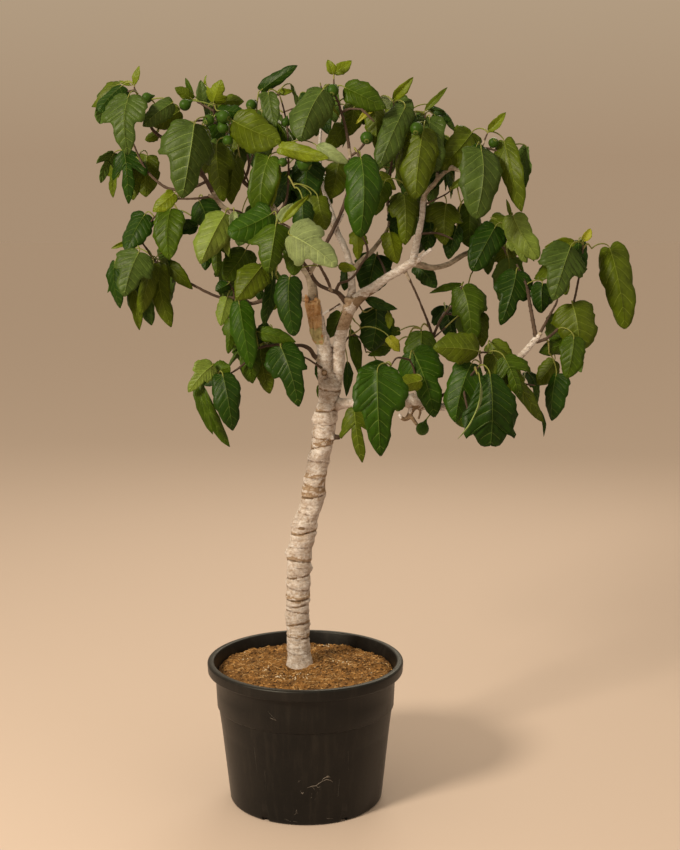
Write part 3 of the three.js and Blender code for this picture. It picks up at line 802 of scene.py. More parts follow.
def trunk_relief(spot):
    """The swellings between the rings, the rings, the lip scar and the single bumps, in metres."""
    around = around_trunk(spot)
    below, above, short = rings_round(spot, around)
    share = min(max(above / (above + short), 0), 1)
    relief = 3.2 * (1 - share) * share ** 0.25 - 1.6
    for ring, off in ((below, above), (below + 1, short)):
        part = 0.75 + 0.4 * math.sin(around * 1.3 + ring * 2.1 + 3)
        relief -= RINGS[ring][1] * part * math.exp(-(off / 3.0) ** 2)
    relief += 1.5 * noise.noise(Vector((spot.x * 13, spot.y * 13, spot.z * 20)))
    relief += 1.1 * noise.noise(Vector((spot.x * 45, spot.y * 45, spot.z * 70)))
    for height, degrees, stands, reach in SWELLINGS:
        gap = spot.z * 1000 - height
        if abs(gap) < reach * 2.5:
            aside = (around - math.radians(degrees) + math.pi) % (2 * math.pi) - math.pi
            relief += 1.35 * stands * math.exp(-(gap / reach) ** 2 - (aside * 30 / reach) ** 2)
    relief -= 3.2 * math.exp(-lip_scar_at(spot) ** 2)
    return relief * 0.001


def bark_group():
    """Grey-beige fig bark: cream bloom in patches with a painted highlight on its ridges, brown weathering,
    dark pores and cracks, and painted shade in its hollows.
    """
    group = group_of("fig_bark", {"Weathering": 0.5, "Bloom": 0.5}, ["Bark", "Pale", "Brown", "Dark"])
    ports = group.nodes["in"].outputs
    blotch = between(group, grain(group, 75, (1, 1, 1.4), 8, 0.82, 0.4), 0.43, 0.58)
    cloud = between(group, grain(group, 17, (1, 1, 1.8), 8, 0.78, 0.5), 0.45, 0.62)
    pores = between(group, grain(group, 150, (1, 1, 2.2), 5, 0.80), 0.56, 0.68)
    cracks = between(group, grain(group, 38, (1, 1, 6.0), 4, 0.75, 0.2), 0.62, 0.72)
    # Pointiness paints light and shade into the colour: a painted highlight on the convex ridges and painted
    # shade in the hollows.
    bent = group.nodes.new("ShaderNodeNewGeometry").outputs["Pointiness"]
    painted_hollow_shade = between(group, bent, 0.500, 0.470)
    painted_ridge_highlight = between(group, bent, 0.505, 0.530)
    # The pale colour shows the bloom in patches and paints a highlight onto the ridges.
    bloom_and_ridge_highlight = combine(group, "MULTIPLY", combine(group, "MAXIMUM", blotch, painted_ridge_highlight), ports["Bloom"])
    base = blend_colours(group, bloom_and_ridge_highlight, ports["Bark"], ports["Pale"])
    stained = blend_colours(group, combine(group, "MULTIPLY", cloud, ports["Weathering"]),
                            base, ports["Brown"])
    # The dark colour marks the pores and cracks, and paints shade into the hollows.
    marks = sum_of(group, (pores, 0.62), (cracks, 0.7), (painted_hollow_shade, 0.6))
    colour = blend_colours(group, combine(group, "MINIMUM", marks, 1.0), stained, ports["Dark"])
    sunk = combine(group, "MULTIPLY", marks, 0.7)
    ridges = combine(group, "SUBTRACT", grain(group, 150, (1, 1, 2.6), 6, 0.78), sunk)
    return give_out(group, colour, between(group, blotch, 0, 1, 0.9, 0.74), ridges)


fig_bark_group = bark_group()


def bark(name, weathering, bloom_and_ridge_highlight, colours, *relief_and_shine):
    return surface(name, fig_bark_group, {"Weathering": weathering, "Bloom": bloom_and_ridge_highlight},
                   dict(zip(("Bark", "Pale", "Brown", "Dark"), colours)), *relief_and_shine)


# Weathering, and strength of the bloom with its painted ridge highlight; plain, pale, brown and dark colours,
# the dark one also painting shade into hollows; strength and depth of the relief; shine.
BARKS = {
    "pale_bark": (0.50, 0.85, [(0.43, 0.345, 0.292), (0.74, 0.710, 0.74), (0.24, 0.160, 0.110),
                               (0.065, 0.036, 0.022)], 0.9, 0.0018, 0.25),
    "scar_bark": (0.7, 0.4, [(0.20, 0.135, 0.085), (0.34, 0.25, 0.17), (0.115, 0.065, 0.035),
                             (0.045, 0.026, 0.016)], 0.6, 0.0012, 0.2),
    "stripped_wood": (0.75, 0.5, [(0.44, 0.25, 0.105), (0.66, 0.50, 0.33), (0.26, 0.10, 0.030),
                                  (0.09, 0.045, 0.022)], 0.8, 0.0015, 0.2),
    "lichen": (0.5, 0.6, [(0.30, 0.255, 0.12), (0.46, 0.41, 0.22), (0.20, 0.14, 0.06),
                          (0.10, 0.07, 0.03)], 0.6, 0.001, 0.15),
    "young_bark": (0.8, 0.45, [(0.25, 0.195, 0.15), (0.55, 0.48, 0.40), (0.12, 0.08, 0.055),
                               (0.05, 0.030, 0.02)], 0.8, 0.0008, 0.3),
    "dark_bark": (0.8, 0.3, [(0.055, 0.032, 0.022), (0.15, 0.10, 0.072), (0.030, 0.016, 0.011),
                             (0.016, 0.010, 0.008)], 0.8, 0.0008, 0.35),
    "ring_bark": (0.6, 0.6, [(0.27, 0.182, 0.115), (0.50, 0.40, 0.32), (0.15, 0.086, 0.046),
                             (0.045, 0.024, 0.013)], 0.8, 0.0014, 0.2),
}
WOOD = [bark(name, *numbers) for name, numbers in BARKS.items()]
PALE, SCAR, STRIPPED, LICHEN, YOUNG, DARK, RING = range(7)

# Limbs whose bark is still young and brown, or dark.
YOUNG_LIMBS = {"bough_top_left_stem", "bough_upper_left", "bough_centre_right",
               "bough_right_outer", "bough_back", "bough_back_left", "bough_back_right", "bough_right_top"}
DARK_LIMBS = {"bough_top_left", "bough_front_left_stem", "bough_far_left", "bough_left_middle",
              "bough_left_low", "bough_crossing", "bough_top_centre", "bough_front", "bough_right_drop",
              "bough_far_right", "bough_left_low_stem"}


def skin_wood():
    """Fuses the tubes of the trunk, the limbs and the stubs into one smoothed skin."""
    rough = Bundle()
    rough.add(*trunk_skin(), 0)
    for places in LIMBS.values():
        rough.add(*tube(limb_line(places), 16), 0)
    for places in STUBS:
        rough.add(*tube(limb_line(places, 0.004), 12), 0)
    wood = rough.make("old_wood", WOOD, "bark", ["trunk", *LIMBS])
    remesh = wood.modifiers.new("skin", "REMESH")
    remesh.mode = "VOXEL"
    remesh.voxel_size = VOXEL
    relax = wood.modifiers.new("relax", "SMOOTH")
    relax.factor = 0.5
    relax.iterations = 3
    apply_modifiers(wood)
    return wood


def finish_of(spot, name, share):
    """Which bark covers a spot on the wood."""
    if name == "leader_left" and spot.z > 1.172:
        bark_strip = spot.x > 0.044 - 0.09 * (spot.z - 1.228) + 0.003 * noise.noise(spot * 80)
        if not bark_strip and spot.z < 1.215 + 0.01 * noise.noise(spot * 60):
            return LICHEN if noise.noise(spot * 90) > -0.25 else STRIPPED
        return PALE if bark_strip else STRIPPED
    if name == "trunk" or name.startswith("leader"):
        if (spot - DRY_BUD).length < 0.0125:
            return DARK
        if lip_scar_at(spot) < 1.1 or 0.0050 < (spot - KNOT).length < 0.0080:
            return SCAR
        if (spot - KNOT).length < 0.0050:
            return RING
        below, above, short = rings_round(spot, around_trunk(spot))
        mottle = noise.noise(Vector((spot.x * 60, spot.y * 60, spot.z * 140)))
        edge = noise.noise(Vector((spot.x * 34, spot.y * 34, below * 1.7)))
        if above < RINGS[below][2] * (1.0 + 0.6 * edge) and mottle > -0.22 - 0.3 * edge:
            return RING
        for ring, off in ((below, above), (below + 1, short)):
            depth = RINGS[ring][1]
            if off < depth * (0.5 + 1.4 * edge + 0.8 * mottle):
                return SCAR if depth > 2 and off < 1.3 and mottle > 0.1 else RING
        return PALE
    if name == "bough_right" and spot.z < 1.30 and noise.noise(spot * 30) > -0.1 and share < 0.4:
        return SCAR
    # The swollen end of this stem takes the dark scar bark in noisy patches, more of it lower down and
    # further to the right.
    if name == "bough_low_right_stem" and share > 0.55:
        low = noise.noise(spot * 45) + (1.025 - spot.z) * 40 + (spot.x - 0.255) * 18
        return SCAR if low > 0.15 else PALE
    if name in YOUNG_LIMBS:
        return YOUNG
    if name in DARK_LIMBS:
        return YOUNG if share < 0.12 and name != "bough_front_left_stem" else DARK
    return PALE


def carve_wood(wood):
    """Moves the skin out and in along its normals, and picks each face's finish."""
    stations = []
    for name, places in LIMBS.items():
        line = limb_line(places, 0.008)
        stations += [(name, i / (len(line) - 1), place, radius) for i, (place, radius) in enumerate(line)]
    tree = kdtree.KDTree(len(stations))
    for index, station in enumerate(stations):
        tree.insert(station[2], index)
    tree.balance()
    mesh = wood.data
    spots = [vertex.co.copy() for vertex in mesh.vertices]
    normals = [normal.vector.copy() for normal in mesh.vertex_normals]
    owners = []
    moved = []
    for spot, normal in zip(spots, normals):
        best = ("trunk", 0.0, 9.0)
        if spot.z < 1.100:
            middle, half = trunk_middle(spot.z)
            best = ("trunk", 0.0, abs(math.hypot(spot.x - middle, spot.y - trunk_depth(spot.z)) - half))
        for _, index, distance in tree.find_n(spot, 6):
            name, share, _, radius = stations[index]
            if abs(distance - radius) < best[2]:
                best = (name, share, abs(distance - radius))
        name, share, _ = best
        owners.append(best)
        move = wrinkles(spot)
        if name == "trunk":
            move += trunk_relief(spot) * min(1, (spot - DRY_BUD).length / 0.012)
        else:
            ring = math.sin(spot.x * 130 + spot.z * 170 + 3 * noise.noise(spot * 20))
            thick = 1.0 if name.startswith("leader") or name == "bough_right" else 0.55
            move = move * thick + 0.0005 * thick * max(ring - 0.6, 0) / 0.4
            apart = (spot - KNOT).length
            if apart < 0.02:
                move += (0.0010 * math.exp(-(apart / 0.004) ** 2)
                         - 0.0014 * math.exp(-((apart - 0.0085) / 0.002) ** 2))
            if name == "leader_left" and spot.z > 1.18:
                move += 0.0020 * noise.noise(Vector((spot.x * 170, spot.y * 170, spot.z * 14)))
        moved.extend(spot + normal * move)
    mesh.vertices.foreach_set("co", moved)
    finishes = []
    for polygon in mesh.polygons:
        first = polygon.vertices[0]
        name, share, _ = owners[first]
        finishes.append(finish_of(spots[first], name, share))
    mesh.materials.clear()
    for material in WOOD:
        mesh.materials.append(material)
    mesh.polygons.foreach_set("material_index", finishes)
    mesh.polygons.foreach_set("use_smooth", [True] * len(mesh.polygons))
    mesh.update()


old_wood = skin_wood()
carve_wood(old_wood)

# ---- Young shoots ------------------------------------------------------------------------------
# This year's and last year's wood, 3 to 8 mm thick, brown and lightly ribbed, and green at the
# growing tips. Each starts on a bough or on an older shoot. They carry the leaves and the figs.

SHOOTS = [
    # far left
    [(-39.8, 177.3, -12, .28), (-40.5, 178.6, -12, .2), (-40.5, 179.8, -12, .12)],
    [(-38.6, 173.5, -12, .26), (-37.8, 175.4, -12, .2)],
    [(-23.5, 156.7, -11, .36), (-28, 154.9, -11, .34), (-32.8, 155, -10, .33), (-36.2, 157.3, -9, .3),
     (-38.5, 160, -9, .28), (-40, 163, -9, .24), (-41.2, 166, -10, .2)],
    [(-21.6, 153.2, -10.5, .32), (-26, 152.6, -12, .26), (-30.6, 152.5, -13, .2)],
    # top left
    [(-21.3, 169.2, 6, .4), (-21.4, 171.6, 3, .34), (-21.4, 173.2, -1, .3), (-21.4, 174.8, -5, .24)],
    [(-21.4, 173.2, -1, .28), (-23.6, 174.6, 0, .22), (-25.6, 175.6, 2, .18)],
    [(-21.4, 171.8, 2, .28), (-21.2, 170.9, -4, .26), (-22, 170.8, -9, .22)],
    [(-19.9, 164.8, 7, .3), (-18.6, 167.4, 0, .28), (-17.8, 170.2, -6, .24)],
    [(-12.9, 155.4, 7, .24), (-14.6, 159.5, 5, .2), (-15.6, 163.4, 3, .16), (-15.9, 166.6, 1, .1)],
    [(-13.2, 160.5, 6, .24), (-12.3, 163, 4, .22), (-11.7, 165.2, 3, .2)],
    [(-11.7, 165.2, 3, .22), (-11.6, 170, 0, .2), (-11, 176.4, -2, .14)],
    # top centre
    [(-7.2, 148.4, 6, .34), (-5.2, 150.4, 0, .3), (-4.1, 153, -6, .27), (-3.7, 158, -11, .24),
     (-3.7, 163, -12, .22), (-3.9, 169, -8, .2), (-4.7, 173.6, -6, .2), (-5.8, 177.4, -4, .14)],
    [(7.4, 177.6, -6, .26), (7.3, 180, -6, .2), (7.3, 182.2, -6, .14)],
    [(4.4, 171.5, 13, .3), (4.8, 176, 12, .24), (4, 180, 11, .16)],
    [(11.2, 162.6, -5, .34), (13.4, 164.2, -5, .3), (15, 166.4, -4, .28), (15.8, 169.6, -4, .24),
     (17.2, 173.8, -3, .16)],
    # top right
    [(20.3, 150.9, 11, .36), (20.8, 157, 10, .32), (21.6, 164, 6, .3), (22.3, 170, 3, .26),
     (21.6, 175.6, 1, .18)],
    [(32.6, 157.8, 0, .34), (31.6, 162, 2, .3), (29.8, 167.5, 1, .27), (29.2, 172.9, 0, .18)],
    [(43.6, 166.4, -1, .24), (44.5, 168.6, -1, .14)],
    [(20.8, 147, 10, .3), (22.6, 150.6, 7, .26), (23.8, 153, 5, .22), (24.5, 156.4, 4, .18)],
    [(29.4, 151.2, 1, .24), (32, 152.4, 0, .2), (35, 154, 0, .18), (37, 156.4, -1, .16),
     (39, 158, -2, .1)],
    [(37, 156.4, -1, .18), (37.6, 153.6, 0, .16), (38.3, 151, 1, .14)],
    # right
    [(40.6, 139.6, 6, .36), (44, 139.6, 7, .28), (47, 142, 8, .25), (48.5, 144.7, 7, .23),
     (49.6, 146.3, 5, .2), (50.4, 148.2, 3, .14)],
    [(57.2, 117.6, -11, .44), (59.5, 118.4, -11, .36), (62, 120.4, -10, .32), (64, 123, -9, .3),
     (66, 127, -8, .28), (67.1, 132.5, -6, .26), (67.9, 138, -5, .24), (68.1, 142.2, -5, .16)],
    [(57.1, 118.6, -11, .6), (56.6, 121, -9, .5), (56, 124, -7, .46), (55.3, 127.5, -5, .42),
     (54.6, 131, -3, .38), (53, 134.6, -1, .32), (52, 136.6, 0, .22)],
    # below right
    [(31.6, 117.6, 4, .36), (30, 118.2, 0, .28), (28.7, 120.6, -4, .2)],
    [(31.5, 118.4, 3.4, .36), (33.2, 122.5, 2, .33), (34.3, 124.3, 1, .26), (37, 127.4, 0, .24),
     (38.7, 131.4, 0, .18)],
    [(31.6, 118.4, 3.6, .22), (34.5, 121, 2, .18), (36.8, 123.2, 1, .14)],
    [(32.4, 102, -10, .5), (34.2, 104.3, -12, .34), (36.5, 105.9, -14, .3), (39.5, 107.9, -16, .28),
     (42, 110.3, -17, .27), (43.5, 112.3, -17, .26), (43.3, 114.8, -16, .24), (45.2, 115, -14, .2)],
    [(27.7, 105.6, -9.6, .32), (27.5, 108, -10.6, .28), (27, 111, -11.6, .24), (25.9, 113.4, -12, .18)],
    # low left
    [(-21.5, 109.3, -12.5, .22), (-23.2, 110.7, -12.6, .18), (-25.4, 110.2, -13, .14)],
    [(4.2, 111.2, -1.6, .34), (2.4, 112.4, -2.5, .25), (.5, 113.6, -3, .22), (-2.8, 114.9, -4.5, .18),
     (-5.4, 116, -7, .14)],
    [(-36.5, 137.6, 6, .3), (-38.3, 140.3, 2, .26), (-39.5, 142.5, -1, .22), (-38.4, 145.4, -2, .2),
     (-35.5, 149, -3, .18), (-32.6, 151.3, -4, .14)],
    [(-17, 128.4, 4, .3), (-17.4, 130.4, 1, .24), (-18.8, 132.6, -1, .18)],
    [(-13.2, 127.2, 3, .26), (-15.6, 129, -2, .22), (-16.4, 129.4, -5, .18)],
    # front and middle
    [(1.4, 141.9, -29, .26), (-1.5, 144, -29, .24), (-4.5, 146.3, -28, .2), (-6.6, 146.7, -27, .15)],
    [(-10.3, 143.6, -8, .3), (-12.4, 146.8, -12, .26), (-15.6, 149.4, -16, .22),
     (-18.9, 150, -18, .16)],
    [(-1.9, 138.6, -6, .3), (-5, 138.5, -7, .24), (-8.5, 137.4, -10, .2), (-10.6, 136.8, -13, .16)],
    [(7.8, 130.2, -2, .42), (8.7, 132, -3, .35), (10.5, 132.6, -3, .3), (12.3, 134, -2.5, .28),
     (14, 136.8, -2, .27), (15.4, 139, -2, .3), (15.2, 141.5, -2, .24), (13.6, 144.4, -1, .16)],
    [(20.2, 133.4, -1.6, .34), (19.4, 136, 4, .28), (17.8, 139.2, 8, .2)],
    [(13.4, 126.8, 0, .2), (14.8, 125, 1, .16), (16.9, 126, 3, .12)],
    [(11.2, 119.2, 1, .18), (13.8, 121, 2, .16), (12.3, 122.8, 2, .12)],
    [(9.6, 117, 2, .2), (11.2, 119.5, 5, .17), (11.4, 121.4, 6, .12)],
]
SHOOT_SIDES = 9
SHOOT_STEP = 0.0035
SCAR_SWELL = 0.22
BRANCHING_SEED = 23


def ringed(line, rng):
    """Adds the swellings of the leaf scars."""
    out = []
    run = 0.0
    next_scar = rng.uniform(0.008, 0.02)
    scars = []
    for (a, _), (b, _) in zip(line, line[1:]):
        run += (b - a).length
        if run > next_scar:
            scars.append(run)
            next_scar = run + rng.uniform(0.010, 0.026)
    run = 0.0
    for i, (place, radius) in enumerate(line):
        if i:
            run += (place - line[i - 1][0]).length
        bulge = sum(math.exp(-((run - scar) / 0.0022) ** 2) for scar in scars)
        lumps = 0.07 * noise.noise(place * 150)
        out.append((place, radius * (1 + SCAR_SWELL * bulge + lumps)))
    return out


shoot_rng = random.Random(BRANCHING_SEED)
shoot_lines = [limb_line(places, SHOOT_STEP) for places in SHOOTS]
shoots = Bundle()
for line in shoot_lines:
    skin, faces = tube(ringed(line, shoot_rng), SHOOT_SIDES, blunt=False)
    rows = len(line) - 1
    finish = []
    for index in range(len(faces)):
        along = index // SHOOT_SIDES / max(rows, 1)
        radius = line[min(int(along * rows), rows)][1]
        finish.append(1 if radius < 0.0018 else 0)
    shoots.add(skin, faces, finish)

green_shoot = bark("green_shoot", 0.35, 0.5,
                   [(0.16, 0.16, 0.035), (0.28, 0.27, 0.08), (0.13, 0.075, 0.04), (0.08, 0.06, 0.025)],
                   0.3, 0.0005, 0.4)

# ---- Leaves ------------------------------------------------------------------------------------
# Fig leaves, 12 to 22 cm long and about 0.5 mm thick: three-lobed or plain, toothed at the edge,
# ribbed between the side veins, glossy above and paler beneath. Each hangs from a long stalk and
# turns its upper face outwards. Their tints, from deep green to the yellow of the youngest, are
# dealt out leaf by leaf.

# Half outlines of a blade from stalk to tip: share of the full width, share of the length.
OUTLINES = {
    "plain": [(0, 0), (.13, -.055), (.29, -.05), (.41, .03), (.475, .16), (.50, .32), (.485, .47), (.45, .61),
              (.37, .76), (.24, .88), (.11, .955), (0, 1)],
    "round": [(0, 0), (.15, -.075), (.33, -.075), (.45, .02), (.50, .18), (.495, .36), (.47, .53), (.43, .68),
              (.33, .83), (.18, .94), (.07, .975), (0, .99)],
    "narrow": [(0, 0), (.16, .03), (.36, .18), (.49, .38), (.46, .58), (.30, .80), (.12, .94), (0, 1)],
    "three": [(0, 0), (.12, -.07), (.30, -.05), (.44, .08), (.50, .26), (.495, .42), (.43, .51), (.33, .50),
              (.27, .54), (.265, .65), (.22, .80), (.10, .94), (0, 1)],
    "deep": [(0, 0), (.10, -.05), (.25, .00), (.40, .20), (.50, .46), (.47, .56), (.35, .47), (.20, .33),
             (.135, .33), (.15, .50), (.175, .67), (.12, .86), (0, 1)],
    "broad": [(0, 0), (.11, -.02), (.23, .08), (.34, .26), (.43, .47), (.49, .68), (.50, .84), (.45, .91),
              (.36, .86), (.29, .88), (.22, .97), (.10, 1.0), (0, .98)],
}
SIDE_VEINS = {"plain": 11, "round": 11, "narrow": 7, "three": 13, "deep": 13, "broad": 12}
TINTS = {
    "deep": (0.014, 0.042, 0.001),
    "rich": (0.024, 0.066, 0.001),
    "mid": (0.044, 0.082, 0.002),
    "olive": (0.070, 0.100, 0.003),
    # grey is a greyer green that paints part of the leaves' sheen into their colour, besides their own tone.
    "grey": (0.052, 0.088, 0.014),
    "bright": (0.130, 0.172, 0.006),
    "lime": (0.140, 0.195, 0.030),
    "pale": (0.190, 0.240, 0.100),
    "yellow": (0.260, 0.270, 0.018),
}
VEIN_LIFT = 0.095
LEAF_THICKNESS = 0.0005
VEIN_SLANT = 0.55
VEIN_STEPS = (0.0, 0.26, 0.52, 0.77, 1.0)

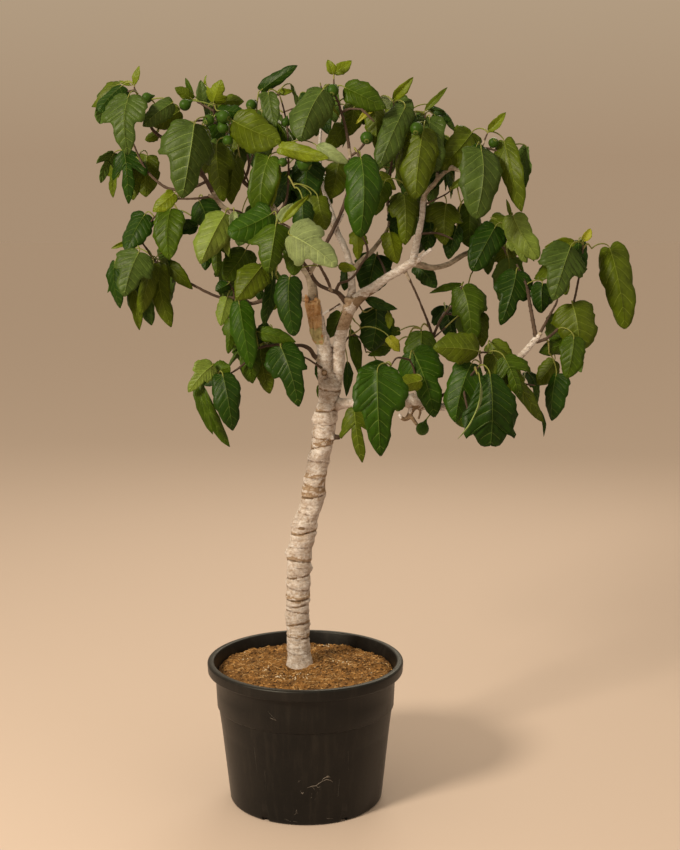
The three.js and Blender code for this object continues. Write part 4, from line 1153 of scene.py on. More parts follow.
# Leaves that give the head its outline: shape, tint, then stalk end and tip as (x, z, depth) in
# centimetres like the limbs, the width in centimetres, and how far the upper face is turned to
# the right of the front, in degrees.
LEAVES = [
    # far left, top
    ("plain", "olive", (-44.2, 179.6, -9), (-51, 174.3, -8), 5.7, -30),
    ("plain", "deep", (-43.4, 179.3, -12), (-49.3, 173, -15), 5.7, -25),
    ("three", "grey", (-42, 176.8, -16), (-42.4, 162.8, -19), 10.8, -5),
    ("plain", "grey", (-31.4, 175.3, -14), (-38.8, 169.7, -16), 5.3, 10),
    ("narrow", "bright", (-40.5, 179.6, -12), (-39.2, 184, -12), 1.9, 10),
    ("narrow", "bright", (-41.4, 179.4, -12), (-44.2, 180.5, -12), 0.9, 0),
    ("plain", "olive", (-29.8, 173.4, -8), (-36.8, 170.2, -9), 5.7, 25),
    ("three", "grey", (-26.3, 170.3, -16), (-29.6, 152.4, -19), 12.6, 25),
    ("deep", "deep", (-43.4, 164, -8), (-42.6, 151, -11), 8.8, -5),
    ("plain", "olive", (-41.3, 162.5, -5), (-40.3, 153.3, -7), 4, 30),
    ("plain", "olive", (-37.8, 162.8, -4), (-38.3, 152.8, -6), 7, 0),
    ("plain", "olive", (-35.2, 168.2, -9), (-38.3, 166.5, -10), 2.3, 0),
    ("plain", "bright", (-31.5, 153.8, -14), (-36.8, 149.4, -15), 3.8, 0),
    ("three", "olive", (-21, 165.4, 0), (-19.4, 151.6, -3), 8.8, 0),
    ("plain", "olive", (-16.2, 162.6, 3), (-17.6, 151, 1), 5.4, 0),
    ("plain", "bright", (-24.4, 169.8, -5), (-23, 163.6, -6), 3.2, 30),
    ("plain", "olive", (-26.8, 176.2, 2), (-30.9, 178.9, 1), 3, 0),
    ("narrow", "mid", (-26.6, 177, 4), (-28.3, 181.2, 4), 1.3, 0),
    ("three", "bright", (-21.6, 175.4, -4), (-19.6, 180.8, -6), 6.2, 0),
    ("narrow", "grey", (-23.7, 175, 0), (-24.6, 180.7, 0), 2.8, 0),
    ("narrow", "bright", (-23.2, 179.4, 1), (-23.1, 181.8, 1), 0.9, 40),
    ("plain", "olive", (-20.6, 175, 1), (-14.2, 175.6, -1), 3.9, 20),
    ("plain", "deep", (-20.6, 173.4, -4), (-14, 172.6, -5), 3.8, 10),
    ("plain", "olive", (-16.9, 171, -10), (-5.3, 166, -14), 9, -10),
    ("narrow", "pale", (-15.4, 167.5, -8), (-12, 162.6, -8), 1.5, 40),
    # top, left of the middle
    ("plain", "deep", (-10.1, 178.3, -2), (-1.3, 184.1, -4), 3.2, -15),
    ("plain", "grey", (-8.4, 177.7, -6), (-6.8, 169.4, -9), 4.8, 0),
    ("narrow", "bright", (-6.3, 177.7, -4), (-2.5, 178, -4), 1.8, 0),
    ("plain", "grey", (4.7, 178.4, -10), (-.8, 166, -14), 8, -10),
    ("plain", "bright", (-5.8, 164.8, -14), (6.2, 162.2, -18), 3.8, -10),
    ("narrow", "pale", (3.2, 165.2, -12), (11, 160.8, -14), 3.4, 0),
    ("narrow", "bright", (7.2, 182, -6), (5.8, 185.4, -6), 2.1, 10),
    ("narrow", "bright", (7.4, 182.2, -6), (11.6, 185.2, -6), 3, -10),
    ("plain", "mid", (9.9, 178.9, -7), (20, 173.9, -9), 6.4, -15),
    ("plain", "olive", (12.4, 175.6, -2), (10.8, 167.4, -2), 5.3, 0),
    ("plain", "olive", (16.6, 174.8, -3), (17.4, 165.4, -4), 5.3, 10),
    ("narrow", "bright", (5.4, 175.1, -5), (8.7, 171.6, -5), 1.3, 30),
    ("plain", "olive", (9.8, 169.6, -3), (5.8, 164, -4), 4.4, 0),
    ("narrow", "yellow", (17.4, 174.7, -8), (12.6, 170.3, -9), 1.6, 0),
    ("plain", "pale", (18.4, 173.8, -1), (18.6, 166.8, -2), 4.4, 0),
    ("round", "rich", (13.8, 162.4, -13), (13.6, 142.8, -17), 8.2, 0),
    ("plain", "mid", (-8.4, 162.4, -12), (-10.4, 146.6, -14), 6.8, -10),
    ("plain", "bright", (-6.4, 160.8, -12), (-7.8, 150.2, -13), 3.4, 25),
    ("plain", "deep", (.9, 161.9, -9), (.6, 150.4, -11), 7.9, 0),
    ("plain", "olive", (8.4, 161, -6), (6.4, 152.3, -7), 6.2, 0),
    ("narrow", "bright", (1.7, 153.3, -13), (-3.6, 149.4, -14), 1.8, 20),
    # top right
    ("narrow", "bright", (21.6, 176, 2), (26.4, 181.4, 0), 2.8, -10),
    ("round", "grey", (21.5, 175.9, 1), (26.4, 173.2, -3), 4.9, 0),
    ("plain", "pale", (18.7, 176.2, 3), (21.8, 173.6, 2), 2.7, 0),
    ("plain", "grey", (24.4, 174.2, -5), (18, 159.5, -9), 7, 0),
    ("narrow", "bright", (25.2, 172.2, -4), (21, 164.4, -5), 2.5, 30),
    ("plain", "olive", (28.9, 169.2, -5), (27, 152.2, -9), 8.2, 0),
    ("narrow", "olive", (29.2, 173.4, 0), (34.6, 179, 0), 1.8, 20),
    ("round", "grey", (30.4, 171.8, -4), (32.6, 158.8, -8), 7.8, -10),
    ("plain", "deep", (31.2, 172.6, 2), (35.4, 171, 1), 2.8, 0),
    ("round", "olive", (40.6, 168.3, -3), (33, 159.4, -7), 8.4, 0),
    ("plain", "deep", (41.9, 165.4, -3), (40.9, 157.4, -4), 3.9, -30),
    ("narrow", "bright", (44.5, 168.7, -1), (48.7, 173.1, -2), 2.3, 0),
    ("round", "grey", (42.9, 164.3, -6), (41.6, 147.4, -10), 10.4, 20),
    ("plain", "olive", (48.4, 166.2, -1), (53, 149.2, -4), 6.6, -15),
    ("three", "olive", (24.2, 153.8, 3), (24.6, 141.2, 0), 8.6, 0),
    ("plain", "bright", (20.9, 144.4, 5), (22.8, 136.7, 3), 5.3, 10),
    ("plain", "bright", (18.3, 158.8, 6), (22.4, 154.6, 5), 2.7, 0),
    ("plain", "mid", (19.6, 156.6, 4), (17.4, 148.4, 3), 4.9, 0),
    ("narrow", "olive", (35.8, 155, -2), (39.4, 158.1, -3), 1.6, 0),
    # right
    ("three", "olive", (34.6, 151.3, 2), (34.4, 141.2, -1), 9.4, 0),
    ("plain", "deep", (31.2, 149.4, 5), (29.6, 139.6, 4), 5.3, 0),
    ("plain", "deep", (37.2, 145.8, 3), (35.2, 137.8, 1), 4.6, 0),
    ("plain", "mid", (40.5, 151.2, 3), (40.6, 140.6, 0), 6.3, 0),
    ("round", "deep", (46.6, 145.8, 6), (41, 134.8, 2), 7.2, 0),
    ("plain", "olive", (45.6, 147.8, 4), (52.6, 142.8, 1), 5.6, 0),
    ("round", "lime", (50.9, 148.4, 1), (57.4, 137.8, -3), 7, 0),
    ("three", "lime", (51.8, 143.8, 1), (54.6, 137, -1), 5.3, 0),
    ("plain", "olive", (50.9, 142.4, 3), (51, 138, 2), 2.3, 0),
    ("narrow", "olive", (50.3, 148.2, 2), (49.1, 152.5, 2), 1.1, 0),
    ("three", "grey", (65, 140.9, -9), (61, 127.6, -13), 12, 5),
    ("narrow", "bright", (66.2, 141.9, -8), (58.6, 140.8, -8), 3, 0),
    ("plain", "deep", (67, 142.4, -6), (68, 134.2, -8), 4, -25),
    ("narrow", "yellow", (68.1, 142.4, -5), (69.8, 145.4, -5), 2, 0),
    ("round", "olive", (74.6, 140.6, 0), (79, 120.4, -4), 7.8, -15),
    ("three", "deep", (51.9, 134.8, -2), (48.2, 121.6, -5), 8.6, 0),
    ("round", "deep", (58.4, 132, -3), (58.4, 124.6, -4), 5.8, 0),
    ("round", "olive", (65.8, 127, -9), (67.8, 115.2, -12), 10, 0),
    ("plain", "mid", (66.4, 118.8, -12), (64.8, 108.4, -14), 6.5, 0),
    ("plain", "mid", (66, 117.6, -11), (57.8, 115, -13), 4.6, 0),
    ("three", "mid", (38.8, 131, 0), (41.2, 117, -3), 9.2, 0),
    ("plain", "olive", (43.2, 124.4, 2), (43.8, 116.2, 0), 3.8, -20),
    ("plain", "deep", (27.4, 136.4, 3), (32.4, 130.8, 1), 4.9, 20),
    ("narrow", "mid", (38.6, 131.8, 1), (30.6, 129.6, 0), 1.9, 0),
    # below right
    ("plain", "olive", (43, 115.3, -18), (31.6, 116.2, -20), 7.6, 0),
    ("plain", "mid", (28.8, 120.3, -4), (28.2, 109.8, -6), 7.9, 0),
    ("three", "rich", (26.9, 115, -10), (32.3, 98.6, -14), 11.4, 0),
    ("plain", "bright", (28.8, 108, -14), (21.2, 106, -16), 3.9, 0),
    ("plain", "yellow", (20.9, 106.2, -13), (23.9, 102.2, -14), 2.7, 0),
    ("three", "rich", (18, 110.6, -24), (19, 88.7, -27), 13, 0),
    ("deep", "olive", (12.4, 101, -14), (14.4, 87.1, -16), 7.9, 0),
    ("narrow", "deep", (19.8, 112.3, -18), (13.7, 110.9, -19), 2.1, 0),
    ("plain", "rich", (41.3, 112.3, -16), (37.4, 97.4, -19), 8.3, -10),
    ("broad", "deep", (45.9, 109.6, -24), (46.3, 91.2, -28), 13.6, 0),
    ("narrow", "pale", (43.4, 108, -25), (38, 93.2, -29), 1.5, 60),
    ("three", "olive", (46.6, 114.5, -12), (59.6, 97.4, -16), 8.6, 20),
    ("narrow", "deep", (58.5, 100.6, -14), (59.5, 93.9, -14), 1.1, 30),
    ("deep", "mid", (49.4, 113.8, -15), (53.6, 103.2, -17), 8.8, 0),
    ("plain", "deep", (62.3, 109.6, -8), (61.4, 97.8, -10), 6.2, -40),
    ("plain", "olive", (61.8, 113, -6), (57.6, 107, -7), 4.8, 0),
    ("plain", "olive", (46, 117.4, -6), (52, 111.4, -9), 5.6, 0),
    # middle
    ("round", "deep", (-3.6, 133.4, -17), (-2.4, 118.8, -20), 6.2, 0),
    ("three", "mid", (-6.8, 146.3, -28), (-8.8, 134.4, -31), 9.8, 0),
    ("three", "pale", (-3.4, 143.8, -31), (8.2, 136, -34), 10.5, 0),
    ("narrow", "pale", (-6.6, 146.6, -27), (-2.6, 151.5, -27), 2.1, 0),
    ("narrow", "bright", (-5.2, 146.9, -27), (1.2, 153.3, -27), 1.8, 0),
    ("plain", "deep", (-.3, 152, -20), (.2, 144.6, -21), 5.1, 0),
    ("plain", "olive", (3.4, 153, -12), (5.4, 144.9, -13), 5.6, 10),
    ("round", "rich", (-7.8, 149, -20), (-18.8, 144.2, -22), 8.4, 0),
    ("narrow", "pale", (-17, 149.4, -18), (-17.4, 143.9, -19), 2.1, 0),
    ("plain", "olive", (-10.4, 136.2, -16), (-16.8, 127.8, -19), 7.6, 0),
    ("plain", "deep", (-7.8, 133.4, -10), (-9.9, 121.2, -11), 3.7, 30),
    ("plain", "olive", (-5.8, 128.2, -8), (-8.8, 125.8, -8), 2.7, 0),
    ("plain", "mid", (9, 124.8, 4), (5.6, 118.4, 3), 4.9, 20),
    ("plain", "deep", (17.7, 139, 8), (15.4, 129, 6), 8.8, 0),
    ("round", "deep", (17.6, 125.9, 4), (16.4, 115, 3), 8.6, 0),
    ("three", "bright", (13.3, 144.8, 1), (13.1, 137.6, 0), 4.6, 0),
    ("narrow", "bright", (8.4, 136.2, -30), (12.9, 135.4, -31), 2.3, 0),
    ("plain", "deep", (10.1, 135.2, 5), (9.8, 130.2, 4), 3.2, 0),
    ("narrow", "bright", (20.6, 125, 3), (20.9, 120.8, 2), 1.9, 0),
    ("plain", "mid", (23.4, 120.4, 2), (18.6, 118.9, 2), 2.7, 0),
    ("plain", "yellow", (20.8, 118.9, 0), (23.6, 115.2, -1), 2.8, 0),
    ("narrow", "mid", (21.2, 115.9, 1), (15.6, 114.2, 0), 2.5, 0),
    ("narrow", "deep", (15, 128.4, 2), (23, 125.7, 0), 2.7, 0),
    ("narrow", "mid", (17.6, 127.9, 2), (17.8, 124.8, 1), 2.3, 0),
    ("narrow", "mid", (11.3, 120.8, 6), (13.8, 108.8, 5), 3.2, 20),
    ("narrow", "deep", (10.6, 112.8, 5), (10.3, 104, 4), 2.7, 20),
    ("narrow", "deep", (3.2, 112.8, 5), (3.9, 107.2, 5), 2.1, 0),
    ("narrow", "mid", (3.5, 107, 5), (3.8, 103.2, 5), 1.5, 0),
    # left
    ("plain", "deep", (-38.6, 148.8, -2), (-43.6, 139.8, -5), 7.2, -10),
    ("plain", "deep", (-46.2, 137.2, -4), (-45.2, 125.8, -5), 4.6, -20),
    ("three", "grey", (-40.3, 139.6, -6), (-44.2, 128.6, -9), 10.5, -5),
    ("narrow", "bright", (-42.9, 141.7, -2), (-47.1, 140.5, -3), 1.4, 0),
    ("plain", "mid", (-32.4, 150.1, -5), (-33, 137.6, -9), 7.6, 0),
    ("plain", "olive", (-35.6, 136.5, 2), (-32.7, 121.1, -1), 5.2, 0),
    ("plain", "olive", (-35, 137.4, 2.5), (-27.3, 130.5, 0), 3.9, 15),
    ("plain", "olive", (-36.8, 136.6, 1.5), (-40.4, 124, -1), 4.4, -15),
    ("narrow", "olive", (-42.6, 131.2, 0), (-40.6, 120.4, -1), 3, 0),
    ("plain", "lime", (-19.2, 148.9, -16), (-25.4, 136.6, -19), 8, 0),
    ("narrow", "lime", (-19.2, 147.4, -17), (-18.4, 138.4, -19), 2.7, 0),
    ("deep", "mid", (-21.4, 143, -10), (-21.4, 133.8, -12), 6.7, 0),
    ("plain", "deep", (-25.4, 152, -6), (-22.8, 144.8, -8), 7.6, 0),
    ("narrow", "deep", (-25.8, 146, -4), (-30.8, 144.3, -5), 3.8, 0),
    ("plain", "lime", (-18.9, 128.6, 0), (-20.6, 121.5, -2), 4.2, 0),
    ("plain", "rich", (-16, 127.3, -7), (-13.2, 110.6, -10), 6.8, 0),
    ("three", "mid", (-17.8, 123, -4), (-18.9, 114.6, -5), 4.6, 0),
    ("plain", "olive", (-16.4, 121, -2), (-16.6, 116.4, -2), 2.8, 0),
    ("plain", "deep", (-18.5, 132, -2), (-21.8, 130.2, -3), 3.4, 0),
    ("plain", "mid", (-14.2, 140.2, -10), (-19.8, 132.8, -12), 7, 0),
    ("plain", "mid", (-11.5, 120.2, -7), (-2, 117.6, -8), 3.8, 0),
    ("plain", "deep", (-8.6, 121.6, -5), (-12.2, 117, -6), 3.8, 0),
    ("three", "olive", (-10.8, 116.5, -5), (-8.6, 104.6, -8), 8.4, 0),
    ("plain", "mid", (-13.4, 117.4, -7), (-12.8, 107.2, -9), 5.6, 0),
    ("three", "deep", (-5.8, 116.4, -9), (-1.4, 101.3, -12), 9.4, 10),
    ("round", "mid", (-22.8, 110.4, -12), (-18.2, 111.4, -14), 4.4, 0),
    ("three", "lime", (-22.8, 111.8, -13), (-28.9, 105, -15), 5.6, 0),
    ("narrow", "mid", (-25.8, 109.4, -13), (-22.8, 94.4, -15), 3.4, -20),
    ("narrow", "mid", (-25.2, 106.4, -12), (-18.6, 91.2, -14), 3.6, -20),
    ("plain", "deep", (-20.2, 109.4, -14), (-17.9, 95.3, -16), 6.8, 10),
    ("narrow", "deep", (-21.6, 109.2, -12), (-25, 106.9, -12), 2.7, 0),
    # behind, turned to the back
    ("three", "mid", (-29, 170, 14), (-29, 158, 17), 8, 180),
    ("plain", "olive", (-10, 173, 20), (-10, 161, 24), 7.5, 160),
    ("plain", "olive", (-11, 151, 16), (-11, 142, 18), 6.5, 180),
    ("plain", "deep", (-15, 149, 12), (-16, 141, 13), 6, 160),
    ("three", "rich", (14, 161, 14), (14, 149, 18), 8, 180),
    ("plain", "mid", (15, 157, 24), (14, 145, 28), 8, 200),
    ("plain", "deep", (43, 164, 12), (43, 152, 15), 8, 180),
    ("three", "deep", (45, 146, 15), (45, 134, 18), 8.5, 170),
    ("plain", "olive", (50, 138, 14), (50, 126, 17), 8, 180),
    ("plain", "rich", (40, 130, 13), (40, 118, 16), 8, 190),
    ("plain", "mid", (30, 118, 14), (30, 108, 17), 7, 170),
    ("three", "mid", (18, 112, 14), (18, 100, 16), 8, 180),
    ("plain", "deep", (48, 112, 2), (48, 100, 4), 8, 180),
]


def leaf_half(shape):
    """One half of a flat blade: rows of (across, along, ribbing) from the midrib to the edge, and
    which rows of faces are veins. Two rows close together stand for each side vein."""
    outline = OUTLINES[shape]
    veins = SIDE_VEINS[shape]
    knots = [(Vector((x, y, 0)), 0.0) for x, y in outline]
    edge = [place for place, _ in flowing(knots, 0.004)]
    runs = [0.0]
    for a, b in zip(edge, edge[1:]):
        runs.append(runs[-1] + (b - a).length)
    total = runs[-1]

    def edge_at(share):
        run = min(max(share, 0), 1) * total
        for i in range(len(runs) - 1):
            if runs[i + 1] >= run:
                t = (run - runs[i]) / max(runs[i + 1] - runs[i], 1e-9)
                return edge[i].lerp(edge[i + 1], t)
        return edge[-1]

    shares = [(0.012, "edge")]
    for k in range(veins):
        middle = (k + 0.5) / veins * 0.96 + 0.01
        shares += [(middle - 0.0020, "vein"), (middle + 0.0020, "vein")]
        shares.append(((k + 1) / veins * 0.96 + 0.01, "panel"))
    shares[-1] = (0.99, "edge")
    table = []
    start = 0.0
    for share, kind in shares:
        end = edge_at(share)
        start = max(start + 0.0018, end.y - VEIN_SLANT * end.x)
        start = min(start, 0.985)
        tooth = 1.025 if kind == "panel" else 0.985
        row = []
        for u in VEIN_STEPS:
            x = end.x * u * (tooth if u == 1 else 1)
            y = start + (end.y - start) * (u ** 1.12)
            rib = {"vein": -1.0, "panel": 1.0, "edge": 0.0}[kind] * math.sin(math.pi * min(u * 0.9 + 0.05, 1))
            row.append((x, y, rib))
        midrib = 0.010 * (1.15 - start)
        row.insert(1, (min(midrib, end.x * 0.3), start + (end.y - start) * 0.04, -0.6))
        table.append(row)
    vein_rows = [i for i in range(len(shares) - 1) if shares[i][1] == "vein" and shares[i + 1][1] == "vein"]
    return table, set(vein_rows)


LEAF_HALVES = {shape: leaf_half(shape) for shape in OUTLINES}
TINT_NAMES = list(TINTS)
FIRST_VEIN = len(TINT_NAMES)
UNDERSIDE = 2 * FIRST_VEIN
UNDER_PALE = UNDERSIDE + 1


def add_leaf(bundle, rng, shape, tint, stalk_end, tip, width, outward, roll):
    """Lays one closed, thin blade from its stalk's end to its tip, upper face towards outward."""
    table, vein_rows = LEAF_HALVES[shape]
    along = tip - stalk_end
    length = along.length
    heading = along.normalized()
    facing = (outward - heading * outward.dot(heading)).normalized()
    facing = Quaternion(heading, -math.radians(roll)) @ facing
    small = shape == "narrow"
    arch = rng.uniform(0.05, 0.15)
    fold = rng.uniform(-38, -20) if small else rng.uniform(2, 30)
    curl = rng.uniform(-16, 26)
    twist = math.radians(rng.uniform(-20, 20))
    wave = rng.uniform(0.018, 0.050) * (0.4 if small else 1)
    phase = rng.random() * 6.28
    rib = rng.uniform(0.026, 0.056)
    sway = along.cross(facing) * rng.uniform(-0.09, 0.09)
    knee = stalk_end + along * 0.42 + facing * (2 * arch * length) + sway
    points = []
    columns = len(table[0])
    halves = []
    for side in (1, -1):
        fuller = 1 + rng.uniform(-0.10, 0.10)
        fall = math.radians(fold + rng.uniform(-7, 7))
        widest = max(row[-1][0] * math.cos(fall + math.radians(curl) * row[-1][0] * 2) for row in table)
        for layer in (0, 1):
            start = len(points)
            for row in table:
                for x, y, ribbing in row:
                    t = min(max(y, -0.12), 1.0)
                    place = stalk_end * (1 - t) ** 2 + knee * (2 * t * (1 - t)) + tip * t * t
                    slope = ((knee - stalk_end) * (1 - t) + (tip - knee) * t).normalized()
                    turn = Quaternion(heading, twist * t)
                    face = turn @ facing
                    up = (face - slope * face.dot(slope)).normalized()
                    across = slope.cross(up)
                    lobing = (1 + 0.07 * math.sin(8 * y + phase + 2 * side)
                              + 0.05 * math.sin(21 * y + 2 * phase))
                    reach = x * width * fuller * lobing
                    bent = fall + math.radians(curl) * x * 2
                    lateral = reach * math.cos(bent) * 0.5 / widest
                    ripple = math.sin(7 * y + phase + side) + 0.5 * math.sin(15 * y + phase)
                    drop = -reach * math.sin(bent) + wave * length * (x * 2) ** 2 * ripple
                    drop += rib * ribbing * width * (0.35 + x)
                    thick = LEAF_THICKNESS / 2 * (1 if layer == 0 else -1)
                    points.append(place + across * (side * lateral) + up * (drop + thick))
            halves.append((start, side, layer))
    faces = []
    finish = []
    blade = TINT_NAMES.index(tint)
    vein = FIRST_VEIN + blade
    under = UNDER_PALE if tint in ("bright", "lime", "pale", "yellow") else UNDERSIDE
    rows = len(table)
    for start, side, layer in halves:
        for i in range(rows - 1):
            for j in range(columns - 1):
                a = start + i * columns + j
                on_vein = j == 0 or (i in vein_rows and j < columns - 2)
                look = (vein if on_vein else blade) if layer == 0 else (vein if j == 0 else under)
                for half in ((a, a + 1, a + 1 + columns), (a, a + 1 + columns, a + columns)):
                    faces.append(tuple(reversed(half)) if (side == 1) == (layer == 0) else half)
                    finish.append(look)
    for (top, side, _), (bottom, _, _) in (halves[0:2], halves[2:4]):
        for i in range(rows - 1):
            a = top + i * columns + columns - 1
            b = bottom + i * columns + columns - 1
            quad = (a, b, b + columns, a + columns)
            faces.append(tuple(reversed(quad)) if side == 1 else quad)
            finish.append(under)
    (right, _, _), (right_low, _, _), (left, _, _), (left_low, _, _) = halves
    for row, flip in ((0, False), (rows - 1, True)):
        for first, first_low, turned in ((right, right_low, flip), (left, left_low, not flip)):
            for j in range(columns - 1):
                a = first + row * columns + j
                b = first_low + row * columns + j
                quad = (a, a + 1, b + 1, b)
                faces.append(tuple(reversed(quad)) if turned else quad)
                finish.append(under)
    bundle.add([tuple(p) for p in points], faces, finish)
    return knee


def leaf_skin_group():
    """A blade's skin: soft mottling, faint network of small veins, satin wax."""
    group = group_of("leaf_skin", {"Mottling": 0.5, "Gloss": 0.4}, ["Blade", "Shade"])
    ports = group.nodes["in"].outputs
    place = group.nodes.new("ShaderNodeTexCoord").outputs["Object"]
    cells = group.nodes.new("ShaderNodeTexVoronoi")
    cells.feature = "DISTANCE_TO_EDGE"
    cells.inputs["Scale"].default_value = 130
    group.links.new(place, cells.inputs["Vector"])
    quilt = between(group, cells.outputs["Distance"], 0.0, 0.22)
    clouds = between(group, grain(group, 40, (1, 1, 1), 6, 0.68), 0.36, 0.66)
    share = combine(group, "MULTIPLY", between(group, quilt, 0, 0.8, 0.62, 1.0), clouds)
    share = combine(group, "MULTIPLY", share, ports["Mottling"])
    spread = combine(group, "MULTIPLY", between(group, grain(group, 60, (1, 1, 1), 3, 0.6), 0.3, 0.7), 0.14)
    fine = combine(group, "MULTIPLY", grain(group, 420, (1, 1, 1), 3, 0.65), 0.8)
    return give_out(group, blend_colours(group, share, ports["Blade"], ports["Shade"]),
                    combine(group, "ADD", spread, ports["Gloss"]), combine(group, "ADD", quilt, fine))


leaf_skin = leaf_skin_group()


def leaf_material(name, colour, gloss, mottling=0.9, shade=0.50):
    darker = tuple(channel * shade for channel in colour)
    return surface(name, leaf_skin, {"Mottling": mottling, "Gloss": gloss},
                   {"Blade": colour, "Shade": darker},
                   bump=0.22, depth=0.0006, specular=0.13)


LEAF_LOOKS = [leaf_material("leaf_" + tint, colour, 0.36) for tint, colour in TINTS.items()]
for tint, colour in TINTS.items():
    lifted = tuple(channel * 1.2 + VEIN_LIFT * share for channel, share in zip(colour, (0.70, 0.80, 0.22)))
    LEAF_LOOKS.append(leaf_material("vein_" + tint, lifted, 0.38, 0.3))
LEAF_LOOKS.append(leaf_material("leaf_underside", (0.068, 0.118, 0.020), 0.62, 0.3))
LEAF_LOOKS.append(leaf_material("leaf_underside_pale", (0.22, 0.28, 0.085), 0.62, 0.3))
stalk_look = leaf_material("leaf_stalk", (0.20, 0.22, 0.05), 0.45, 0.6)

# Every spot on the wood that a stalk can start from.
wood_spots = [place for line in shoot_lines for place, _ in line[::3]]
for name, places in LIMBS.items():
    if "leader" not in name:
        wood_spots += [place for place, _ in limb_line(places, 0.02)[2:]]
LOW_WOOD_COST = 0.35
STALK_REACH = 0.085


def nearest_wood(spot):
    """The nearest place to grow from, with a liking for wood above or level with the spot."""
    def cost(place):
        gap = place - spot
        return gap.length + LOW_WOOD_COST * max(-gap.z, 0)
    return min(wood_spots, key=cost)


def add_stalk(bundle, start, end, heading):
    """A leaf stalk that leaves the wood rising, then bends over to its blade."""
    span = end - start
    rise = Vector((0, 0, 0.22 * span.length + 0.004))
    first = start + span * 0.35 + rise
    second = end - heading * 0.012 + Vector((0, 0, 0.004))
    line = []
    for i in range(8):
        t = i / 7
        place = (start * (1 - t) ** 3 + first * (3 * t * (1 - t) ** 2)
                 + second * (3 * t * t * (1 - t)) + end * t ** 3)
        line.append((place, 0.0020 - 0.0007 * t))
    line.append((end + heading * 0.006, 0.0009))
    bundle.add(*tube(line, 6, blunt=False), 0)


def reach_out(shoots, rng, spot):
    """Finds the wood for a leaf, and grows a side shoot towards it where the wood is far off."""
    place = nearest_wood(spot)
    gap = spot - place
    if gap.length > STALK_REACH:
        far = place + gap * (1 - 0.06 / gap.length)
        middle = (place + far) / 2 + Vector((rng.uniform(-0.008, 0.008), rng.uniform(-0.008, 0.008), 0.012))
        line = flowing([(place, 0.0026), (middle, 0.0022), (far, 0.0015)], 0.006)
        shoots.add(*tube(ringed(line, rng), 7, blunt=False), 1 if gap.length < 0.12 else 0)
        wood_spots.extend(grown for grown, _ in line[len(line) // 2::3])
        return far
    return place


leaf_rng = random.Random(BRANCHING_SEED + 1)
leaf_bundles = {part: Bundle() for part in ("left", "middle", "upper_right", "lower_right", "back")}
stalks = Bundle()
FRONT = Vector((0, -1, 0.12))


def part_of_head(x, y, z):
    if y > 0.16:
        return "back"
    if x > 0.23:
        return "upper_right" if z > 1.33 else "lower_right"
    return "left" if x < -0.12 else "middle"


# The leaves keep apart: each leaves marks where it lies, on a grid of small boxes.
APART = 0.024
taken = {}


def leaf_marks(stalk_end, tip, width, facing):
    along = tip - stalk_end
    side = along.normalized().cross(facing).normalized()
    marks = []
    for t in (0.1, 0.36, 0.62, 0.88):
        lift = facing * (0.36 * t * (1 - t) * along.length)
        for share in (-0.3, 0, 0.3):
            marks.append(stalk_end + along * t + side * (share * width) + lift)
    return marks


def box_of(spot):
    return (math.floor(spot.x / APART), math.floor(spot.y / APART), math.floor(spot.z / APART))


def crowding(marks):
    """How many of these marks lie closer than they should to a leaf that is already there."""
    close = 0
    for mark in marks:
        a, b, c = box_of(mark)
        near = (other for i in (-1, 0, 1) for j in (-1, 0, 1) for k in (-1, 0, 1)
                for other in taken.get((a + i, b + j, c + k), ()))
        close += any((other - mark).length < APART for other in near)
    return close


def settle(marks):
    for mark in marks:
        taken.setdefault(box_of(mark), []).append(mark)


shown = []
for shape, tint, start, end, width, turned in LEAVES:
    if width > 3:
        shown.append(((start[0] + end[0]) / 2, (start[1] + end[1]) / 2, max(start[2], end[2]), width))
    choices = []
    for shift in (0, 1.2, -1.2, 2.4, -2.4, 3.6, 4.8, 6.0):
        stalk_end = set_back(start[0], start[1], start[2] + shift)
        tip = set_back(end[0], end[1], end[2] + shift)
        marks = leaf_marks(stalk_end, tip, width * CM, FRONT)
        choices.append((crowding(marks), abs(shift), shift, stalk_end, tip, marks))
    stalk_end, tip, marks = min(choices)[3:]
    settle(marks)
    wood = reach_out(shoots, leaf_rng, stalk_end)
    knee = add_leaf(leaf_bundles[part_of_head(*stalk_end)], leaf_rng, shape, tint, stalk_end, tip, width * CM,
                    FRONT, turned)
    add_stalk(stalks, wood, stalk_end, (knee - stalk_end).normalized())

# The rest of the head follows one rule. In each mass of foliage side shoots grow from the nearest
# wood to places inside it. At each end leaves stand off by the golden angle, and each blade
# hangs outwards and down, kept inside its mass so that the open places stay open.
GOLDEN = math.radians(137.5)
SPRAYS = {
    "leaves_far_left_top": 1, "leaves_left_hanging": 1, "leaves_upper_left_front": 1, "leaves_top_left": 2,
    "leaves_top_centre_left": 2, "leaves_top_centre": 2, "leaves_top_centre_right": 2,
    "leaves_top_right_inner": 3, "leaves_top_right": 1, "leaves_right_upper": 1, "leaves_right": 1,
    "leaves_far_right": 1, "leaves_far_right_tip": 0, "leaves_far_right_low": 1, "leaves_right_centre": 2,
    "leaves_low_right_front": 1, "leaves_low_right": 1, "leaves_low_centre_right": 3, "leaves_low_centre": 0,
    "leaves_by_fork": 2, "leaves_centre_front": 1, "leaves_centre_right": 2, "leaves_centre_left": 6,
    "leaves_front": 1, "leaves_left_inner": 1, "leaves_back_left_low": 3, "leaves_left_low_inner": 1,
    "leaves_left_middle": 1, "leaves_left_low": 0, "leaves_back_left": 8, "leaves_back_right": 8,
}
LEAVES_PER_SPRAY = 5
SPRAY_TINTS = ("deep", "deep", "rich", "mid", "mid", "olive", "olive", "olive", "grey")
SPRAY_SHAPES = ("plain", "round", "three", "three", "three", "deep")
# Places tried for each leaf, and the score above which even its best place is too poor.
SPRAY_TRIES = 16
WORST_SCORE = 4


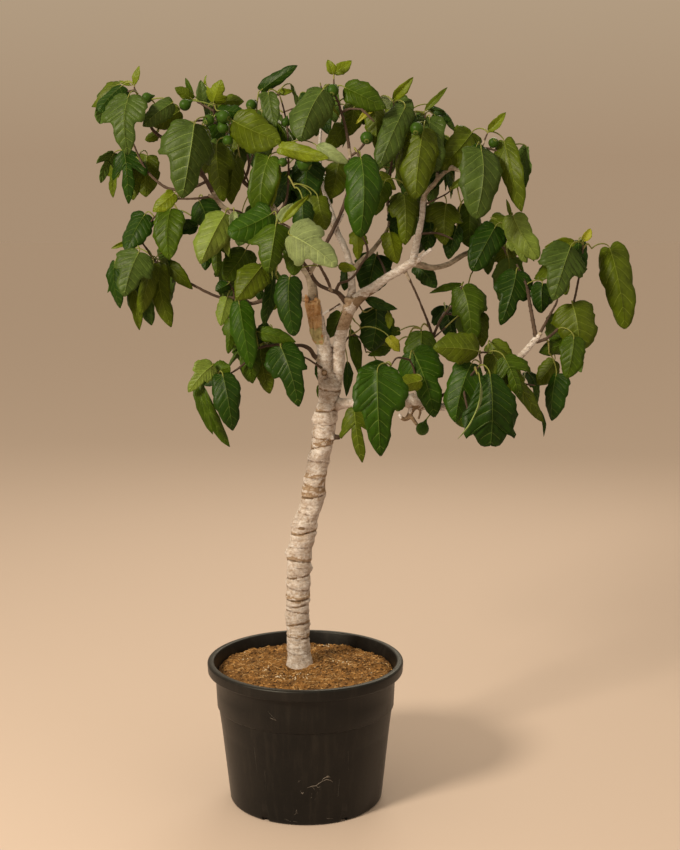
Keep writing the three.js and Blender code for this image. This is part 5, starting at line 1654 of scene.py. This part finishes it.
def depth_wanted(spot):
    """How far back a leaf here has to lie so that it doesn't cover one that gives the outline."""
    scale = -EYE.y / (spot.y - EYE.y)
    x = (EYE.x + (spot.x - EYE.x) * scale) / CM
    z = (EYE.z + (spot.z - EYE.z) * scale) / CM
    wanted = -1.0
    for shown_x, shown_z, depth, width in shown:
        if abs(x - shown_x) < width * 0.5 + 4 and abs(z - shown_z) < 12:
            wanted = max(wanted, (depth + 3) * CM)
    return wanted


def reach_of(spot, centre, half):
    """How far out a spot lies in its mass: 1 is on the outside."""
    return sum(((spot[i] - centre[i]) / half[i]) ** 2 for i in range(3))


spray_rng = random.Random(BRANCHING_SEED + 2)
trunk_axis = Vector((0.10, 0.02, 1.35))
for mass, sprays in SPRAYS.items():
    low, high = (Vector(corner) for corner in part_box(mass))
    centre = (low + high) / 2
    half = (high - low) / 2
    for spray in range(sprays):
        direction = Vector((spray_rng.gauss(0, 1), spray_rng.gauss(0, 1) + 0.5,
                            spray_rng.gauss(0, 1) + 0.5)).normalized()
        share = spray_rng.uniform(0.2, 0.5)
        end = centre + Vector([direction[i] * half[i] * share for i in range(3)])
        wood = nearest_wood(end)
        gap = end - wood
        middle = (wood + end) / 2 + Vector((spray_rng.uniform(-0.01, 0.01), spray_rng.uniform(-0.01, 0.01),
                                            0.10 * gap.length))
        line = flowing([(wood, 0.0032), (middle, 0.0027), (end, 0.0019)], 0.006)
        if gap.length > 0.01:
            shoots.add(*tube(ringed(line, spray_rng), 7, blunt=False), 0)
            wood_spots.extend(grown for grown, _ in line[len(line) // 2::4])
        tint = spray_rng.choice(SPRAY_TINTS)
        azimuth = spray_rng.random() * 2 * math.pi
        away = end - trunk_axis
        away.z = 0
        away.normalize()
        for leaf in range(LEAVES_PER_SPRAY):
            azimuth += GOLDEN
            base = line[-1 - min(leaf * 2, len(line) - 1)][0] if gap.length > 0.01 else wood
            shape = spray_rng.choice(SPRAY_SHAPES)
            shade = tint if spray_rng.random() < 0.55 else spray_rng.choice(SPRAY_TINTS)
            best = None
            for attempt in range(SPRAY_TRIES):
                turned = azimuth + spray_rng.uniform(-0.6, 0.6)
                out = Vector((math.cos(turned), math.sin(turned), 0)) + away * 0.5
                out.normalize()
                length = spray_rng.uniform(0.11, 0.19) * (1 - 0.02 * attempt)
                width = length * spray_rng.uniform(0.52, 0.68) * (1.25 if shape in ("three", "deep") else 1)
                stalk_end = (base + out * spray_rng.uniform(0.03, 0.075)
                             + Vector((0, 0, spray_rng.uniform(0, 0.03))))
                heading = out * spray_rng.uniform(0.0, 0.9) + Vector((0, 0, -1))
                heading += Vector((spray_rng.uniform(-0.3, 0.3), spray_rng.uniform(-0.3, 0.3), 0))
                tip = stalk_end + heading.normalized() * length
                behind = depth_wanted((stalk_end + tip) / 2) - (stalk_end.y + tip.y) / 2
                if behind > 0:
                    room = centre.y + half.y * 1.08 - max(stalk_end.y, tip.y)
                    step = Vector((0, max(min(behind, room), 0), 0))
                    stalk_end = stalk_end + step
                    tip = tip + step
                outside = max(reach_of(tip, centre, half) - 1.3, reach_of(stalk_end, centre, half) - 1.2, 0)
                hidden = max(depth_wanted((stalk_end + tip) / 2) - (stalk_end.y + tip.y) / 2 - 0.01, 0)
                marks = leaf_marks(stalk_end, tip, width, (out + Vector((0, 0, 0.25))).normalized())
                score = crowding(marks) + 8 * outside + 60 * hidden
                if best is None or score < best[0]:
                    best = (score, stalk_end, tip, width, out, marks)
            score, stalk_end, tip, width, out, marks = best
            if score > WORST_SCORE:
                continue
            settle(marks)
            knee = add_leaf(leaf_bundles[part_of_head(*stalk_end)], spray_rng, shape, shade,
                            stalk_end, tip, width, out + Vector((0, 0, 0.25)),
                            spray_rng.uniform(-30, 30))
            add_stalk(stalks, base, stalk_end, (knee - stalk_end).normalized())

masses = {part: [] for part in leaf_bundles}
for mass in SPRAYS:
    low, high = (Vector(corner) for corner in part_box(mass))
    masses[part_of_head(*((low + high) / 2))].append(mass)
for part, bundle in leaf_bundles.items():
    bundle.make("leaf_sprays_" + part, LEAF_LOOKS, "leaf", masses[part])
shoots.make("young_shoots", [WOOD[DARK], green_shoot], "twig")
stalks.make("leaf_stalks", [stalk_look], "leaf")

# ---- Figs --------------------------------------------------------------------------------------
# Unripe green figs, 20 to 35 mm across, round with a short neck and a small eye at the end,
# faintly ribbed. Each sits in the angle of a leaf stalk on a short stem.

# Place like the leaves, and diameter, in centimetres.
FIGS = [
    (-37.6, 176.5, -12, 2.5), (-28.5, 174.8, -6, 2.8), (-22.9, 171.2, -10, 2.7), (-19.2, 172, -10, 3.1),
    (-19.4, 169.4, -9, 2.8), (-18.3, 166.3, -9, 2.6), (-12.5, 174.8, -4, 2.7), (-4.3, 170.6, -7, 2.2),
    (-5.1, 161.2, -13.5, 2.2), (7, 178.2, -8, 3), (.2, 160.9, -13.5, 3.6), (15.2, 167, -6.5, 3.1),
    (27.3, 169.2, -8, 3.2), (24.8, 154.6, -2, 2.6), (45.8, 165.9, -2, 2.5), (29.3, 95.9, -12, 3.2),
    (23.2, 101.2, -11.5, 1.8), (-9, 168, 27, 2.8), (5, 152, 33, 2.6), (33, 163, 42, 2.9), (60, 128, 3, 2.4),
]
FIG_OUTLINE = [(0, -.50), (.10, -.485), (.20, -.45), (.36, -.34), (.47, -.16), (.50, .02), (.46, .20),
               (.36, .36), (.24, .47), (.15, .56), (.10, .66), (.07, .76), (0, .78)]
FIG_SIDES = 20


def add_fig(bundle, place, size, stem_from):
    """A fig turned about the line from its eye to its stem."""
    hang = stem_from - place
    if hang.length > 0.001:
        hang = (hang.normalized() + Vector((0, 0, 0.6))).normalized()
    else:
        hang = Vector((0, 0, 1))
    side = hang.orthogonal().normalized()
    other = hang.cross(side)
    points = [place + hang * (FIG_OUTLINE[0][1] + 0.03) * size]
    for r, h in FIG_OUTLINE[1:-1]:
        for k in range(FIG_SIDES):
            angle = 2 * math.pi * k / FIG_SIDES
            ribbed = r * size * (1 + 0.018 * math.cos(9 * angle))
            points.append(place + (side * math.cos(angle) + other * math.sin(angle)) * ribbed
                          + hang * h * size)
    points.append(place + hang * FIG_OUTLINE[-1][1] * size)
    faces = round_faces(1, len(FIG_OUTLINE) - 2, FIG_SIDES, 0, len(points) - 1)
    finish = [1 if index < FIG_SIDES else 0 for index in range(len(faces))]
    bundle.add([tuple(p) for p in points], faces, finish)
    neck = place + hang * 0.74 * size
    line = [(neck, 0.0018), (neck.lerp(stem_from, 0.5) + Vector((0, 0, 0.002)), 0.0015), (stem_from, 0.0018)]
    bundle.add(*tube(flowing(line, 0.004), 7, blunt=False), 2)


fig_green = leaf_material("fig_green", (0.034, 0.082, 0.006), 0.34, 0.7, 0.5)
fig_eye = leaf_material("fig_eye", (0.12, 0.15, 0.03), 0.5, 0.5)
fig_stem = leaf_material("fig_stem", (0.20, 0.25, 0.06), 0.5, 0.5)
figs = Bundle()
for x, z, depth, across in FIGS:
    place = set_back(x, z, depth)
    add_fig(figs, place, across * CM, nearest_wood(place))
figs.make("green_figs", [fig_green, fig_eye, fig_stem], "fruit")

# ---- Floor and light ---------------------------------------------------------------------------
# A plain pale floor and a pale room with soft light from the upper left front.

FLOOR_RADIUS = 40
FLOOR_SIDES = 96


def plain_material(name, colour, roughness):
    material = bpy.data.materials.new(name)
    material.use_nodes = True
    shader = material.node_tree.nodes["Principled BSDF"]
    shader.inputs["Base Color"].default_value = (*colour, 1)
    shader.inputs["Roughness"].default_value = roughness
    return material


turns = [a * 2 * math.pi / FLOOR_SIDES for a in range(FLOOR_SIDES)]
floor_points = [(FLOOR_RADIUS * math.cos(turn), FLOOR_RADIUS * math.sin(turn), 0) for turn in turns]
floor_mesh = bpy.data.meshes.new("floor")
floor_mesh.from_pydata(floor_points, [], [tuple(range(FLOOR_SIDES))])
floor_mesh.materials.append(plain_material("pale_floor", (0.60, 0.48, 0.43), 0.8))
floor = bpy.data.objects.new("floor", floor_mesh)
bpy.context.scene.collection.objects.link(floor)

world = bpy.data.worlds.new("pale_room")
world.use_nodes = True
background = world.node_tree.nodes["Background"]
background.inputs["Strength"].default_value = 1.0
direction = world.node_tree.nodes.new("ShaderNodeTexCoord")
axes = world.node_tree.nodes.new("ShaderNodeSeparateXYZ")
world.node_tree.links.new(direction.outputs["Generated"], axes.inputs["Vector"])
room = world.node_tree.nodes.new("ShaderNodeMix")
room.data_type = "RGBA"
room.inputs[6].default_value = (0.389, 0.273, 0.177, 1)
room.inputs[7].default_value = (0.64, 0.545, 0.385, 1)
world.node_tree.links.new(between(world.node_tree, axes.outputs["Z"], 0.02, 0.5), room.inputs["Factor"])
world.node_tree.links.new(room.outputs[2], background.inputs["Color"])
bpy.context.scene.world = world


def soft_light(name, place, aim, size, power, colour):
    lamp = bpy.data.lights.new(name, "AREA")
    lamp.shape = "DISK"
    lamp.size = size
    lamp.energy = power
    lamp.color = colour
    light = bpy.data.objects.new(name, lamp)
    light.location = place
    light.rotation_euler = (Vector(aim) - Vector(place)).to_track_quat("-Z", "Y").to_euler()
    bpy.context.scene.collection.objects.link(light)


soft_light("key_light", (-2.8, -3.0, 3.4), (0.1, 0, 1.2), 1.1, 250, (1.0, 0.875, 0.64))
soft_light("fill_light", (3.2, -2.6, 2.2), (0.1, 0, 1.0), 2.4, 12, (1.0, 0.88, 0.66))
soft_light("back_light", (0.6, 3.4, 3.2), (0.1, 0, 1.4), 2.2, 45, (1.0, 0.90, 0.70))
